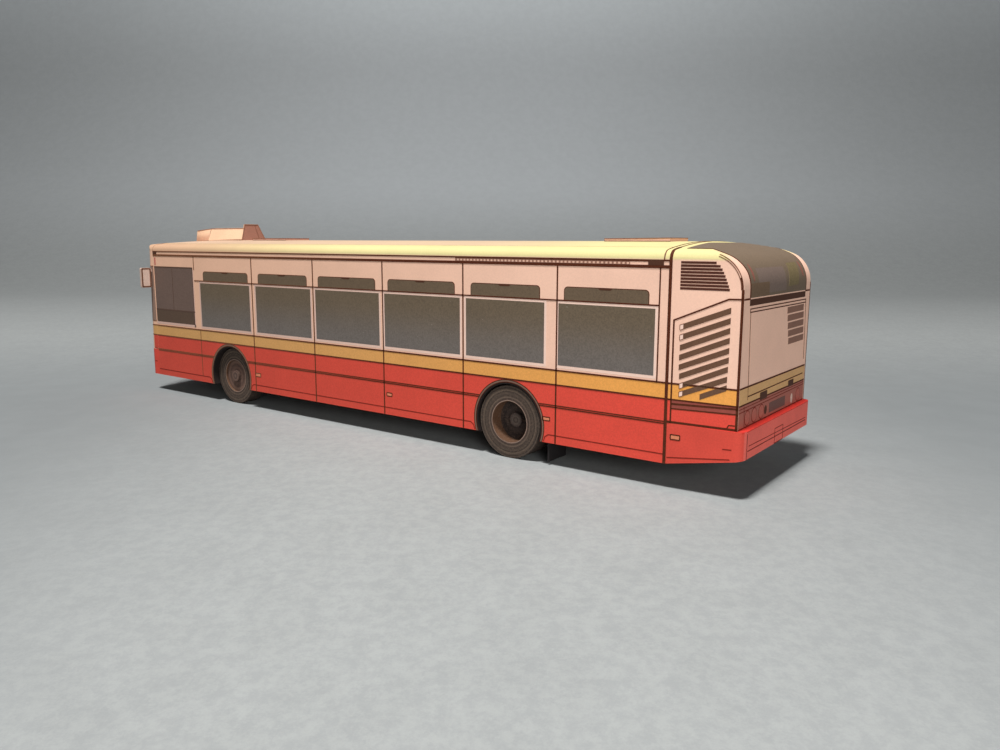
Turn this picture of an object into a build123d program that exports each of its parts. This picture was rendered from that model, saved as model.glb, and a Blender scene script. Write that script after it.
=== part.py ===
from build123d import *
from math import cos, hypot, radians, sin
import os

# Card model of a low-floor city bus, at about 1:87.
#
# It is folded and glued from printed card: flat sides, a roof with rounded edges, a tapering
# rear end that rolls up into the roof, a bowed front and a wrap-round apron at each end.
# Each pair of rolled-card wheels turns on its own rod.
# X runs forward, Y to the bus's left and Z up; the wheels stand on Z = 0.

os.makedirs("parts", exist_ok=True)

# ------------------------------------------------------------ dimensions, mm
CARD = 0.30                    # thickness of the card everywhere

# Overall
FRONT_X = 69.25                # foremost point of the front apron
REAR_X = -69.25                # rear face of the rear apron
HALF_W = 14.37                 # outer half width of the sides
SKIRT_Z = 3.55                 # bottom edge of the sides
APRON_TOP_Z = 9.22             # top of both aprons
GUTTER_Z = 30.05               # where the sides meet the roof card

# Cross-section of the roof
EDGE_RISE = 0.90               # the card stands this much before it rounds over
EDGE_R = 1.25                  # radius of the rounded roof edge
EDGE_SWEEP = 81.0              # how far it turns before it runs flat
FOLD_IN = 2.97                 # the roof's fold line, in from the side
FOLD_RISE = 1.53               # height of the fold line over the start of the edge
CROWN_RISE = 0.77              # height of the crown over the fold line

# Rear end
REAR_L = 10.60                 # length of the rear end, from its joint with the sides
REAR_STEP = 1.00               # the apron stands this far behind the rear face
REAR_TAPER = 0.50              # the rear end is this much narrower, each side
REAR_RISE = 1.90               # the rear apron's lower edge climbs this much
REAR_CURVE_DROP = 5.95         # the rear curve starts this far below the crown
REAR_CURVE_R = 4.60            # radius of that curve
REAR_CURVE_SWEEP = 68.0        # how far it turns before it eases into the roof
APRON_TAPER = 0.10
APRON_CORNER_R = 1.30
LEDGE = 0.80                   # how far each apron's ledge reaches in under the shell

# Front end
FRONT_L = 5.10                 # length of the front end, from its joint with the sides
FRONT_STEP = 0.15              # the apron stands this far ahead of the front
NOSE_R = 1.60                  # corner radius of the front, seen from above
NOSE_BOW = 1.86                # the front bulges this much between its corners
NOSE_LEAN = 0.035              # the front leans back this much for each mm up
NOSE_FALL_X = 50.00            # ahead of this the roof falls away gently
BROW_DROP = 0.90               # the brow curls over this far below the crown
BROW_SET = 2.43                # the brow starts this far behind the front face
BROW_R = 3.60
UNDER_IN = 1.55                # the front apron turns under by this much
UNDER_H = 2.00                 # over this height

# Wheels, arches and axles
FRONT_AXLE_X = 37.82
REAR_AXLE_X = -32.42
ARCH_R = 5.95                  # clear radius inside the arch linings
WELL_DEPTH = 5.37              # how far in the linings reach
TYRE_GAP = 0.25                # between the tyres and the linings
TYRE_EDGE = 0.12               # softened edge of the rolled tyre
FRONT_TYRE_IN = 1.07           # the front tyres stand this far inside the sides
REAR_TYRE_IN = 0.27            # and the rear tyres this far
FRONT_TYRE_W = 3.20
REAR_TYRE_W = 4.00
RIM_R = 3.25                   # radius of the hollow in the tyre ring
DISC_T = 0.60
FRONT_DISC_IN = 0.40           # the front discs sit nearly flush
REAR_DISC_IN = 2.20            # the rear discs sit deep
HUB_R = 1.15
HUB_T = 0.50
ROD_R = 0.75
ROD_CLEARANCE = 0.05           # running clearance in the carriers
CARRIER_IN = 1.00              # the carriers stand this far inside the wheel wells
CARRIER_HALF_L = 2.20
CARRIER_DROP = 1.25            # the cheeks reach this far below the axle
FLOOR_RISE = 1.25              # underside of the floor card, over the axles

# Roof equipment
UNIT_X = 47.65                 # rear face of the folded roof unit
UNIT_L = 18.20
UNIT_HALF_W = 3.10
UNIT_H = 2.65                  # its height over the crown of the roof
UNIT_SHOULDER = 0.15           # the shoulders lie this much lower
UNIT_LEAN_IN = 0.90            # the walls lean in this much
UNIT_TOP_HALF_W = 1.05
UNIT_NOSE_L = 5.90             # length of the tapered front of the unit
UNIT_NOSE_HALF_W = 2.30
UNIT_NOSE_LEAN_IN = 0.10       # its walls lean in this much at the very front
UNIT_NOSE_LEAN = 0.50          # the front face leans back this much
UNIT_NOSE_FALL = 0.45          # the top falls this much towards the front
UNIT_END_H = 3.35              # the end panel stands above the rest
UNIT_END_HALF_W = 1.72         # half width of its upper edge
UNIT_END_LEAN = 0.22           # it leans forward this much for each mm up
FLAP_L = 10.80
FLAP_HALF_W = 3.10
FRONT_FLAP_X = 33.00           # rear end of the front flap
REAR_FLAP_X = -53.00
FLAP_H = 0.35                  # height of the flaps over the crown
FRONT_FLAP_RISE = 0.00         # rise of each flap towards its rear edge
REAR_FLAP_RISE = 0.12

# Mirrors and mudflaps
MIRROR_T = 0.60
MIRROR_W = 2.25
MIRROR_H = 4.30
MIRROR_DROP = 5.00             # middle of the mirror, below the gutter
MIRROR_OFF = 0.33              # gap between the mirror and the side of the bus
MIRROR_ARM_T = 0.40
MIRROR_ARM_H = 0.60
MUDFLAP_GAP = 0.80             # clear of the arch lining
MUDFLAP_W = 4.70
MUDFLAP_Z = 0.60               # its lower edge

# Values that follow from those
EDGE_Z = GUTTER_Z + EDGE_RISE
FOLD_Z = EDGE_Z + FOLD_RISE
ROOF_Z = FOLD_Z + CROWN_RISE
BROW_Z = ROOF_Z - BROW_DROP
MIRROR_Z = GUTTER_Z - MIRROR_DROP
TYRE_R = ARCH_R - TYRE_GAP
AXLE_Z = TYRE_R
FLOOR_Z = AXLE_Z + FLOOR_RISE
CARRIER_CHEEK_Z = AXLE_Z - CARRIER_DROP
WELL_Y = HALF_W - WELL_DEPTH
CARRIER_Y = WELL_Y - CARRIER_IN
FRONT_TYRE_Y = HALF_W - FRONT_TYRE_IN
REAR_TYRE_Y = HALF_W - REAR_TYRE_IN
REAR_SEAM_X = REAR_X + REAR_L
FRONT_SEAM_X = FRONT_X - FRONT_L
REAR_FACE_X = REAR_X + REAR_STEP
REAR_HALF_W = HALF_W - REAR_TAPER
NOSE_X = FRONT_X - FRONT_STEP
NOSE_TOP_X = NOSE_X - NOSE_LEAN * (BROW_Z - APRON_TOP_Z)
LINING_R = ARCH_R + CARD
FLOOR_REAR_X = REAR_FACE_X + 2 * LEDGE
FLOOR_FRONT_X = NOSE_X - NOSE_BOW - 2 * LEDGE


# ------------------------------------------------------------- shared shapes
def across(x):
    """Plane across the bus at station x, with Y to the right and Z up."""
    return Plane(origin=(x, 0, 0), x_dir=(0, 1, 0), z_dir=(1, 0, 0))


def at_side(y):
    """Plane parallel to the bus's left side, drawn in X and Z and facing inwards."""
    return Plane.XZ.offset(-y)


def cross_section(half_w, inset, bottom):
    """Outline of the bus across its width."""
    radius = EDGE_R - inset
    centre_y = half_w - EDGE_R
    side_y = centre_y + radius

    def on_edge(angle):
        turn = radians(angle)
        return (centre_y + radius * cos(turn), EDGE_Z + radius * sin(turn))

    with BuildSketch() as section:
        with BuildLine():
            Line((side_y, bottom), (side_y, EDGE_Z))
            ThreePointArc(on_edge(0), on_edge(EDGE_SWEEP / 2), on_edge(EDGE_SWEEP))
            Line(on_edge(EDGE_SWEEP), (half_w - FOLD_IN, FOLD_Z - inset))
            RadiusArc((half_w - FOLD_IN, FOLD_Z - inset), (0, ROOF_Z - inset), -crown_radius())
            Line((0, ROOF_Z - inset), (0, bottom))
            Line((0, bottom), (side_y, bottom))
        make_face()
        mirror(about=Plane.YZ)
    return section.sketch


def crown_radius():
    """Radius of the roof between its two fold lines."""
    half_chord = HALF_W - FOLD_IN
    rise = ROOF_Z - FOLD_Z
    return (half_chord**2 + rise**2) / (2 * rise)


def long_profile(inset):
    """Everything under the bus's outline as seen from the side."""
    face_x = REAR_FACE_X + inset
    floor = 0
    ahead = FRONT_X + CARD
    with BuildPart() as block:
        with BuildSketch(Plane.XZ):
            with BuildLine():
                back = Line((face_x, floor), (face_x, ROOF_Z - REAR_CURVE_DROP))
                curl = JernArc(back @ 1, back % 1, REAR_CURVE_R - inset, -REAR_CURVE_SWEEP)
                ease = TangentArc(curl @ 1, (REAR_SEAM_X, ROOF_Z - inset), tangent=curl % 1)
                top = Line(ease @ 1, (NOSE_FALL_X, ROOF_Z - inset))
                brow_x = NOSE_TOP_X - BROW_SET
                fall = TangentArc(top @ 1, (brow_x, BROW_Z - inset), tangent=top % 1)
                brow = JernArc(fall @ 1, fall % 1, BROW_R - inset, -80)
                end = brow @ 1
                Polyline(end, (ahead, end.Y), (ahead, floor), (face_x, floor))
            make_face()
        extrude(amount=HALF_W, both=True)
    return block.part


def nose_plan(front, inset):
    """Outline of the front end from above: bowed front, rounded corners."""
    half = HALF_W - inset
    radius = NOSE_R - inset
    centre_x = front - NOSE_BOW - NOSE_R
    centre_y = HALF_W - NOSE_R
    diagonal = radius * cos(radians(45))
    corner = (centre_x + radius, centre_y)
    with BuildSketch() as plan:
        with BuildLine():
            Line((FRONT_SEAM_X, 0), (FRONT_SEAM_X, half))
            Line((FRONT_SEAM_X, half), (centre_x, half))
            ThreePointArc((centre_x, half), (centre_x + diagonal, centre_y + diagonal), corner)
            ThreePointArc(corner, (front - inset, 0), (corner[0], -corner[1]))
            ThreePointArc((corner[0], -corner[1]), (centre_x + diagonal, -centre_y - diagonal),
                          (centre_x, -half))
            Line((centre_x, -half), (FRONT_SEAM_X, -half))
            Line((FRONT_SEAM_X, -half), (FRONT_SEAM_X, 0))
        make_face()
    return plan.sketch


# ---------------------------------------------------- filled blocks of the shell
def rear_block(inset):
    """The tapering rear end, rolled over into the roof."""
    with BuildPart() as block:
        with BuildSketch(across(REAR_SEAM_X)):
            add(cross_section(HALF_W, inset, APRON_TOP_Z))
        with BuildSketch(across(REAR_FACE_X)):
            add(cross_section(REAR_HALF_W, inset, APRON_TOP_Z))
        loft(ruled=True)
        add(long_profile(inset), mode=Mode.INTERSECT)
    return block.part


def middle_block(inset):
    """The roof between the two end joints."""
    with BuildPart() as block:
        with BuildSketch(across(REAR_SEAM_X)):
            add(cross_section(HALF_W, inset, GUTTER_Z))
        extrude(amount=FRONT_SEAM_X - REAR_SEAM_X)
        add(long_profile(inset), mode=Mode.INTERSECT)
    return block.part


def front_block(inset):
    """The front end, leaning back a little and curled over at the top."""
    lean = Plane(origin=(NOSE_X, 0, APRON_TOP_Z), x_dir=(1, 0, NOSE_LEAN), z_dir=(-NOSE_LEAN, 0, 1))
    with BuildPart() as block:
        with BuildSketch(lean.offset(-CARD)):
            with Locations((-NOSE_X, 0)):
                add(nose_plan(NOSE_X, inset))
        extrude(amount=ROOF_Z - APRON_TOP_Z + 2 * CARD)
        with BuildSketch(across(FRONT_SEAM_X)):
            add(cross_section(HALF_W, inset, APRON_TOP_Z))
        extrude(amount=FRONT_X - FRONT_SEAM_X, mode=Mode.INTERSECT)
        add(long_profile(inset), mode=Mode.INTERSECT)
    return block.part


def front_apron_block(inset):
    """The front apron, turned under along its lower edge."""
    back = inset * hypot(UNDER_IN, UNDER_H) / UNDER_H
    low_x = FRONT_X - UNDER_IN - back
    high_x = FRONT_X - back
    run = UNDER_IN / UNDER_H
    with BuildPart() as block:
        with BuildSketch(Plane.XY.offset(SKIRT_Z)):
            add(nose_plan(FRONT_X, inset))
        extrude(amount=APRON_TOP_Z - SKIRT_Z)
        with BuildSketch(Plane.XZ):
            with BuildLine():
                Polyline((low_x - run, SKIRT_Z - 1), (high_x + run, SKIRT_Z + UNDER_H + 1),
                         (high_x + run, SKIRT_Z - 1), (low_x - run, SKIRT_Z - 1))
            make_face()
        extrude(amount=HALF_W, both=True, mode=Mode.SUBTRACT)
    return block.part


def rear_apron_plan(inset):
    """Outline of the rear apron from above."""
    half = HALF_W - inset
    back = REAR_X + inset
    with BuildSketch() as plan:
        with BuildLine():
            Polyline((REAR_SEAM_X, half), (back, half - APRON_TAPER), (back, APRON_TAPER - half),
                     (REAR_SEAM_X, -half), (REAR_SEAM_X, half))
        make_face()
        fillet(plan.vertices().group_by(Axis.X)[0], APRON_CORNER_R - inset)
    return plan.sketch


rear_outer, rear_inner = rear_block(0), rear_block(CARD)

# --------------------------------------------------------------- side panels
with BuildPart() as side_card_left:
    with BuildSketch(at_side(HALF_W)):
        with BuildLine():
            Polyline((REAR_SEAM_X, SKIRT_Z), (FRONT_SEAM_X, SKIRT_Z), (FRONT_SEAM_X, GUTTER_Z),
                     (REAR_SEAM_X, GUTTER_Z), (REAR_SEAM_X, SKIRT_Z))
        make_face()
        with Locations((FRONT_AXLE_X, AXLE_Z), (REAR_AXLE_X, AXLE_Z)):
            Circle(LINING_R, mode=Mode.SUBTRACT)
    extrude(amount=CARD)

with BuildPart() as side_card_right:
    mirror(side_card_left.part, about=Plane.XZ)

# ---------------------------------------------------------------- roof card
with BuildPart() as roof_card:
    add(middle_block(0))
    add(middle_block(CARD), mode=Mode.SUBTRACT)

# ----------------------------------------------------------------- rear end
with BuildPart() as rear_shell:
    add(rear_outer)
    add(rear_inner, mode=Mode.SUBTRACT)

# The flat quarter panels are the shell's sides, up to the rounded roof edge.
with BuildPart() as rear_quarter_left:
    with BuildSketch(Plane.XY.offset(APRON_TOP_Z)):
        with BuildLine():
            Polyline((REAR_SEAM_X, HALF_W - CARD), (REAR_FACE_X, REAR_HALF_W - CARD),
                     (REAR_FACE_X, HALF_W + CARD), (REAR_SEAM_X, HALF_W + CARD),
                     (REAR_SEAM_X, HALF_W - CARD))
        make_face()
    extrude(amount=EDGE_Z - APRON_TOP_Z)
    add(rear_shell.part, mode=Mode.INTERSECT)

with BuildPart() as rear_quarter_right:
    mirror(rear_quarter_left.part, about=Plane.XZ)

with BuildPart() as rear_cap:
    add(rear_shell.part)
    add(rear_quarter_left.part, mode=Mode.SUBTRACT)
    add(rear_quarter_right.part, mode=Mode.SUBTRACT)

with BuildPart() as rear_apron:
    with BuildSketch():
        add(rear_apron_plan(0))
        add(rear_apron_plan(CARD), mode=Mode.SUBTRACT)
    extrude(amount=APRON_TOP_Z)
    with BuildSketch(Plane.XY.offset(APRON_TOP_Z - CARD)):
        add(rear_apron_plan(CARD))
        with Locations((REAR_SEAM_X, 0)):
            Rectangle(2 * (REAR_SEAM_X - REAR_FACE_X - LEDGE), 2 * (REAR_HALF_W - LEDGE),
                      mode=Mode.SUBTRACT)
    extrude(amount=CARD)
    with BuildSketch(Plane.XZ):
        with BuildLine():
            Polyline((REAR_SEAM_X, 0), (REAR_SEAM_X, SKIRT_Z), (REAR_X, SKIRT_Z + REAR_RISE),
                     (REAR_X, 0), (REAR_SEAM_X, 0))
        make_face()
    extrude(amount=HALF_W, both=True, mode=Mode.SUBTRACT)

# ---------------------------------------------------------------- front end
with BuildPart() as front_card:
    add(front_block(0))
    add(front_block(CARD), mode=Mode.SUBTRACT)

with BuildPart() as front_apron:
    add(front_apron_block(0))
    add(front_apron_block(CARD), mode=Mode.SUBTRACT)
    with BuildSketch(Plane.XY.offset(APRON_TOP_Z - CARD)):
        add(nose_plan(FRONT_X, CARD))
        add(nose_plan(NOSE_X, LEDGE), mode=Mode.SUBTRACT)
    extrude(amount=CARD)

# ---------------------------------------------------------- floor and wells
with BuildPart() as floor_card:
    with BuildSketch(Plane.XY.offset(FLOOR_Z)):
        with Locations(((REAR_SEAM_X + FRONT_SEAM_X) / 2, 0)):
            Rectangle(FRONT_SEAM_X - REAR_SEAM_X, 2 * (HALF_W - CARD))
        with Locations(((FLOOR_REAR_X + FLOOR_FRONT_X) / 2, 0)):
            Rectangle(FLOOR_FRONT_X - FLOOR_REAR_X, 2 * (REAR_HALF_W - 2 * LEDGE))
        for axle_x in (FRONT_AXLE_X, REAR_AXLE_X):
            for side in (1, -1):
                with Locations((axle_x, side * (WELL_Y - CARD + HALF_W) / 2)):
                    Rectangle(2 * LINING_R, HALF_W - WELL_Y + CARD, mode=Mode.SUBTRACT)
    extrude(amount=CARD)


def arch_lining(axle_x):
    """Strip rolled round the inside of a left-hand arch, closed by a wall behind the wheel."""
    with BuildPart() as lining:
        with BuildSketch(at_side(HALF_W)):
            with Locations((axle_x, AXLE_Z)):
                Circle(LINING_R)
        extrude(amount=HALF_W - WELL_Y + CARD)
        with BuildSketch(at_side(HALF_W)):
            with Locations((axle_x, AXLE_Z)):
                Circle(ARCH_R)
        extrude(amount=HALF_W - WELL_Y, mode=Mode.SUBTRACT)
        with BuildSketch(at_side(WELL_Y)):
            with Locations((axle_x, AXLE_Z)):
                Circle(ARCH_R)
            with Locations((axle_x, FLOOR_Z + ARCH_R)):
                Rectangle(2 * LINING_R, 2 * ARCH_R, mode=Mode.SUBTRACT)
        extrude(amount=CARD, mode=Mode.SUBTRACT)
        split(bisect_by=Plane.XY.offset(SKIRT_Z), keep=Keep.TOP)
    return lining.part


def axle_carrier(axle_x):
    """Folded channel under the floor, pierced for the rod."""
    with BuildPart() as carrier:
        with BuildSketch(Plane.XY.offset(FLOOR_Z - CARD)):
            with Locations((axle_x, 0)):
                Rectangle(2 * CARRIER_HALF_L, 2 * CARRIER_Y)
        extrude(amount=CARD)
        for y in (CARRIER_Y, CARD - CARRIER_Y):
            with BuildSketch(at_side(y)):
                with Locations((axle_x, (FLOOR_Z - CARD + CARRIER_CHEEK_Z) / 2)):
                    Rectangle(2 * CARRIER_HALF_L, FLOOR_Z - CARD - CARRIER_CHEEK_Z)
            extrude(amount=CARD)
        with BuildSketch(at_side(CARRIER_Y)):
            with Locations((axle_x, AXLE_Z)):
                Circle(ROD_R + ROD_CLEARANCE)
        extrude(amount=2 * CARRIER_Y, mode=Mode.SUBTRACT)
    return carrier.part


# ------------------------------------------------------------------- wheels
def axle_rod(axle_x, reach):
    """Rod through a carrier, from disc to disc."""
    with BuildPart() as rod:
        with BuildSketch(at_side(reach)):
            with Locations((axle_x, AXLE_Z)):
                Circle(ROD_R)
        extrude(amount=2 * reach)
    return rod.part


def tyre_ring(axle_x, face_y, width):
    """Left-hand tyre: a strip of card rolled into a thick ring."""
    with BuildPart() as tyre:
        with BuildSketch(at_side(face_y)):
            with Locations((axle_x, AXLE_Z)):
                Circle(TYRE_R)
                Circle(RIM_R, mode=Mode.SUBTRACT)
        extrude(amount=width)
        rims = tyre.edges().filter_by(GeomType.CIRCLE).group_by(SortBy.RADIUS)[-1]
        chamfer(rims, TYRE_EDGE)
    return tyre.part


def wheel_disc(axle_x, face_y):
    """Left-hand disc glued into the tyre, with a hub cap over the rod's end."""
    with BuildPart() as disc:
        with BuildSketch(at_side(face_y)):
            with Locations((axle_x, AXLE_Z)):
                Circle(RIM_R)
                Circle(ROD_R, mode=Mode.SUBTRACT)
        extrude(amount=DISC_T)
        with BuildSketch(at_side(face_y + HUB_T)):
            with Locations((axle_x, AXLE_Z)):
                Circle(HUB_R)
        extrude(amount=HUB_T)
    return disc.part


# -------------------------------------------------------------- roof units
def unit_section(low, high, top_z):
    """Section of the roof unit: leaning walls under a shallow top."""
    with BuildSketch() as section:
        with BuildLine():
            Polyline((0, GUTTER_Z), (low, GUTTER_Z), (low, ROOF_Z), (high, top_z - UNIT_SHOULDER),
                     (UNIT_TOP_HALF_W, top_z), (0, top_z), (0, GUTTER_Z))
        make_face()
        mirror(about=Plane.YZ)
    return section.sketch


def unit_shape(inset):
    """Folded roof unit with leaning walls, narrower and lower towards its nose."""
    low = UNIT_HALF_W - inset
    high = UNIT_HALF_W - UNIT_LEAN_IN - inset
    top_z = ROOF_Z + UNIT_H - inset
    nose_x = UNIT_X + UNIT_L - inset
    neck_x = UNIT_X + UNIT_L - UNIT_NOSE_L
    nose_y = UNIT_NOSE_HALF_W - inset
    rear_x = UNIT_X + inset
    rear_top_x = rear_x + UNIT_END_LEAN * (top_z - ROOF_Z)
    with BuildPart() as unit:
        with BuildSketch(across(rear_x)):
            add(unit_section(low, high, top_z))
        extrude(amount=neck_x - rear_x)
        with BuildSketch(across(neck_x)):
            add(unit_section(low, high, top_z))
        with BuildSketch(across(nose_x)):
            add(unit_section(nose_y, nose_y - UNIT_NOSE_LEAN_IN, top_z - UNIT_NOSE_FALL))
        loft(ruled=True)
        with BuildSketch(Plane.XZ):
            with BuildLine():
                Polyline((rear_x, GUTTER_Z), (nose_x, GUTTER_Z), (nose_x, ROOF_Z),
                         (nose_x - UNIT_NOSE_LEAN, top_z), (rear_top_x, top_z), (rear_x, ROOF_Z),
                         (rear_x, GUTTER_Z))
            make_face()
        extrude(amount=UNIT_HALF_W, both=True, mode=Mode.INTERSECT)
    return unit.part


roof_solid = middle_block(0)
front_solid = front_block(0)

with BuildPart() as roof_unit:
    add(unit_shape(0))
    add(unit_shape(CARD), mode=Mode.SUBTRACT)
    end_plane = Plane(origin=(UNIT_X, 0, ROOF_Z), x_dir=(0, 1, 0), z_dir=(1, 0, -UNIT_END_LEAN))
    end_top = UNIT_END_H * hypot(1, UNIT_END_LEAN)
    with BuildSketch(end_plane):
        with BuildLine():
            Polyline((0, -CARD), (UNIT_HALF_W, -CARD), (UNIT_HALF_W, 0), (UNIT_END_HALF_W, end_top),
                     (0, end_top), (0, -CARD))
        make_face()
        mirror(about=Plane.YZ)
    extrude(amount=CARD)
    add(roof_solid, mode=Mode.SUBTRACT)
    add(front_solid, mode=Mode.SUBTRACT)


def roof_flap(rear_x, rise):
    """Thin hatch card glued on the roof, its rear edge lifted by rise."""
    front_x = rear_x + FLAP_L
    with BuildPart() as flap:
        with BuildSketch(Plane.XZ):
            with BuildLine():
                Polyline((rear_x, GUTTER_Z), (rear_x, ROOF_Z + FLAP_H + rise),
                         (front_x, ROOF_Z + FLAP_H), (front_x, GUTTER_Z), (rear_x, GUTTER_Z))
            make_face()
        extrude(amount=FLAP_HALF_W, both=True)
        add(roof_solid, mode=Mode.SUBTRACT)
    return flap.part


# ------------------------------------------------------ mirrors and mudflaps
MIRROR_X = NOSE_X - NOSE_BOW - NOSE_R - MIRROR_T / 2 - NOSE_LEAN * (MIRROR_Z - APRON_TOP_Z)

with BuildPart() as mirror_left:
    head_y = HALF_W + MIRROR_OFF
    with BuildSketch(across(MIRROR_X)):
        with Locations((head_y + MIRROR_W / 2, MIRROR_Z)):
            RectangleRounded(MIRROR_W, MIRROR_H, CARD)
    extrude(amount=MIRROR_T)
    arm_z = MIRROR_Z + MIRROR_H / 2 - MIRROR_ARM_H
    with BuildSketch(across(MIRROR_X + (MIRROR_T - MIRROR_ARM_T) / 2)):
        with Locations(((head_y + HALF_W) / 2, arm_z)):
            Rectangle(MIRROR_OFF + 2 * CARD, MIRROR_ARM_H)
    extrude(amount=MIRROR_ARM_T)
    add(front_solid, mode=Mode.SUBTRACT)

with BuildPart() as mirror_right:
    mirror(mirror_left.part, about=Plane.XZ)

with BuildPart() as mudflap_left:
    flap_x = REAR_AXLE_X - LINING_R - MUDFLAP_GAP
    with BuildSketch(across(flap_x - CARD)):
        with Locations((HALF_W - LEDGE / 2 - MUDFLAP_W / 2, (MUDFLAP_Z + FLOOR_Z) / 2)):
            Rectangle(MUDFLAP_W, FLOOR_Z - MUDFLAP_Z)
    extrude(amount=CARD)

with BuildPart() as mudflap_right:
    mirror(mudflap_left.part, about=Plane.XZ)

# ------------------------------------------------------------ write them out
pieces = {
    "side_card_left": side_card_left,
    "side_card_right": side_card_right,
    "roof_card": roof_card,
    "rear_quarter_left": rear_quarter_left,
    "rear_quarter_right": rear_quarter_right,
    "rear_cap": rear_cap,
    "rear_apron": rear_apron,
    "front_card": front_card,
    "front_apron": front_apron,
    "floor_card": floor_card,
    "roof_unit": roof_unit,
    "mirror_left": mirror_left,
    "mirror_right": mirror_right,
    "mudflap_left": mudflap_left,
    "mudflap_right": mudflap_right,
}


def keep(name, shape):
    """Wrap a finished shape as a piece of its own."""
    with BuildPart() as piece:
        add(shape)
    pieces[name] = piece


def keep_pair(name, shape):
    """Keep a left-hand shape and its mirror image."""
    keep(f"{name}_left", shape)
    with BuildPart() as right:
        mirror(shape, about=Plane.XZ)
    pieces[f"{name}_right"] = right


keep("roof_flap_front", roof_flap(FRONT_FLAP_X, FRONT_FLAP_RISE))
keep("roof_flap_rear", roof_flap(REAR_FLAP_X, REAR_FLAP_RISE))

AXLES = (
    ("front", FRONT_AXLE_X, FRONT_TYRE_Y, FRONT_TYRE_W, FRONT_DISC_IN),
    ("rear", REAR_AXLE_X, REAR_TYRE_Y, REAR_TYRE_W, REAR_DISC_IN),
)
for end, axle_x, tyre_y, tyre_w, disc_in in AXLES:
    disc_y = tyre_y - disc_in
    keep_pair(f"{end}_arch_lining", arch_lining(axle_x))
    keep(f"{end}_axle_carrier", axle_carrier(axle_x))
    keep(f"{end}_axle_rod", axle_rod(axle_x, disc_y))
    keep_pair(f"{end}_tyre", tyre_ring(axle_x, tyre_y, tyre_w))
    keep_pair(f"{end}_wheel_disc", wheel_disc(axle_x, disc_y))

for name, piece in pieces.items():
    piece.part.label = name
    export_step(piece.part, f"parts/{name}.step")
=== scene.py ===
"""A printed card model of a low-floor city bus, seen from its left rear corner.

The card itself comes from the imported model. This scene gives every card a paper finish and lays
the printing on it: each printed shape is a thin closed slab of ink that follows the card under it.
Lengths are millimetres unless a name says otherwise, and become metres where a mesh is made.
"""
from math import asin, atan2, cos, degrees, floor, hypot, radians, sin, sqrt, tau

import bmesh
import bpy
from mathutils import Matrix, Vector
from mathutils.bvhtree import BVHTree
from mathutils.geometry import tessellate_polygon


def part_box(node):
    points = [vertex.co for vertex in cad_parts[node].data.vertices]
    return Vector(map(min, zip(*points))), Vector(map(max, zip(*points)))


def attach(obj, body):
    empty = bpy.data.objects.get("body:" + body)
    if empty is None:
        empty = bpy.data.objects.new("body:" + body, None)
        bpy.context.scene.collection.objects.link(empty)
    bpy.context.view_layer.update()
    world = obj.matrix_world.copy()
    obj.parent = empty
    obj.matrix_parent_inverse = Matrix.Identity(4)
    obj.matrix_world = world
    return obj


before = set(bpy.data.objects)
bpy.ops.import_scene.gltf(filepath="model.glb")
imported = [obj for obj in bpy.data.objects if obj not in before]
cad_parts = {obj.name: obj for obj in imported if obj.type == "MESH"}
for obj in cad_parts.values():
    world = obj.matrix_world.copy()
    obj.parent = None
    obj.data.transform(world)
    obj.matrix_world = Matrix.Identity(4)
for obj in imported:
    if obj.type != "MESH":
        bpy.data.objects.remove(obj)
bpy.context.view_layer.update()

MM = 0.001
BODY = "bus_body"
X, Y, Z = 0, 1, 2
WAYS = (("left", 1), ("right", -1))    # the two sides, and which way along Y each lies
SHELL = ("roof_card", "rear_cap", "rear_quarter_left", "rear_quarter_right", "front_card",
         "side_card_left", "side_card_right")

# ---- main sizes
# Places along the bus, forward from its middle.
FRONT_SEAM = 64.15
FRONT_AXLE = 37.82
REAR_AXLE = -32.42
REAR_SEAM = -58.65
SEAM_X = REAR_SEAM + 0.1  # middle of the dark line along the rear seam
SEAM_W = 0.42
SEAM_AHEAD = -57.62  # thin line over the roof ahead of that seam
REAR_FACE = -68.25
REAR_APRON = -69.25
POSTS = (29.65, 11.75, -5.95, -23.55, -41.05)
CAB_POST = 48.95
LAST_POST = -57.10

# Places across it, from the middle to either side.
HALF_W = 14.37
REAR_HALF_W = 13.87
FOLD_Y = 11.42  # the two folds along the roof

# Heights of printing, from the foot of the sheet.
SKIRT = 3.40
FOOT_LINE = 4.69  # thin line along the foot of the sides
APRON_TOP = 9.07
BELT_LOW = 12.30  # the yellow belt
BELT_TOP = 14.46
GUTTER_LINE = 29.80
ROOF_LINE = 30.62
ROOF_EDGE = 30.80
REAR_CURVE_Z = 27.15  # where the rear face begins to curve into the roof
REAR_CURVE_R = 4.60  # the radius of that curve
REAR_CURVE_TURN = 68  # and the degrees that it turns through

# Heights from the ground.
SHEET_FOOT = 0.15
AXLE_Z = 5.70
ROOF_TOP = 33.25

AXLE_UP = AXLE_Z - SHEET_FOOT  # height of the axles on the printed sides
ARCH_R = 6.60  # outer edge of the printed arch trims
ARCH_TRIM_R = 6.24  # their inner edge
RINGS_END = 6.0  # past the outermost ring printed on a wheel

# How far each layer of ink stands off the card.
ZONE = 0.015
PANE = 0.030
LINE = 0.045
TOP_LINE = 0.060
OVER_LINE = 0.070
SEATS = 0.072
LEAF = 0.075
ON_LEAF = 0.090
RAIL = 0.105

# on the card, the window borders and the yellow and red print, this change lifts a painted shade off
# the front
FADE_X = 62  # where the colours along the sides begin to change, going rearwards
GRAIN_DEPTH = 0.02
PALE_FIBRE = (226, 214, 200)
PALE_TONER = (124, 102, 86)


def put(name, data):
    """A new object in the scene."""
    thing = bpy.data.objects.new(name, data)
    bpy.context.scene.collection.objects.link(thing)
    return thing


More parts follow.
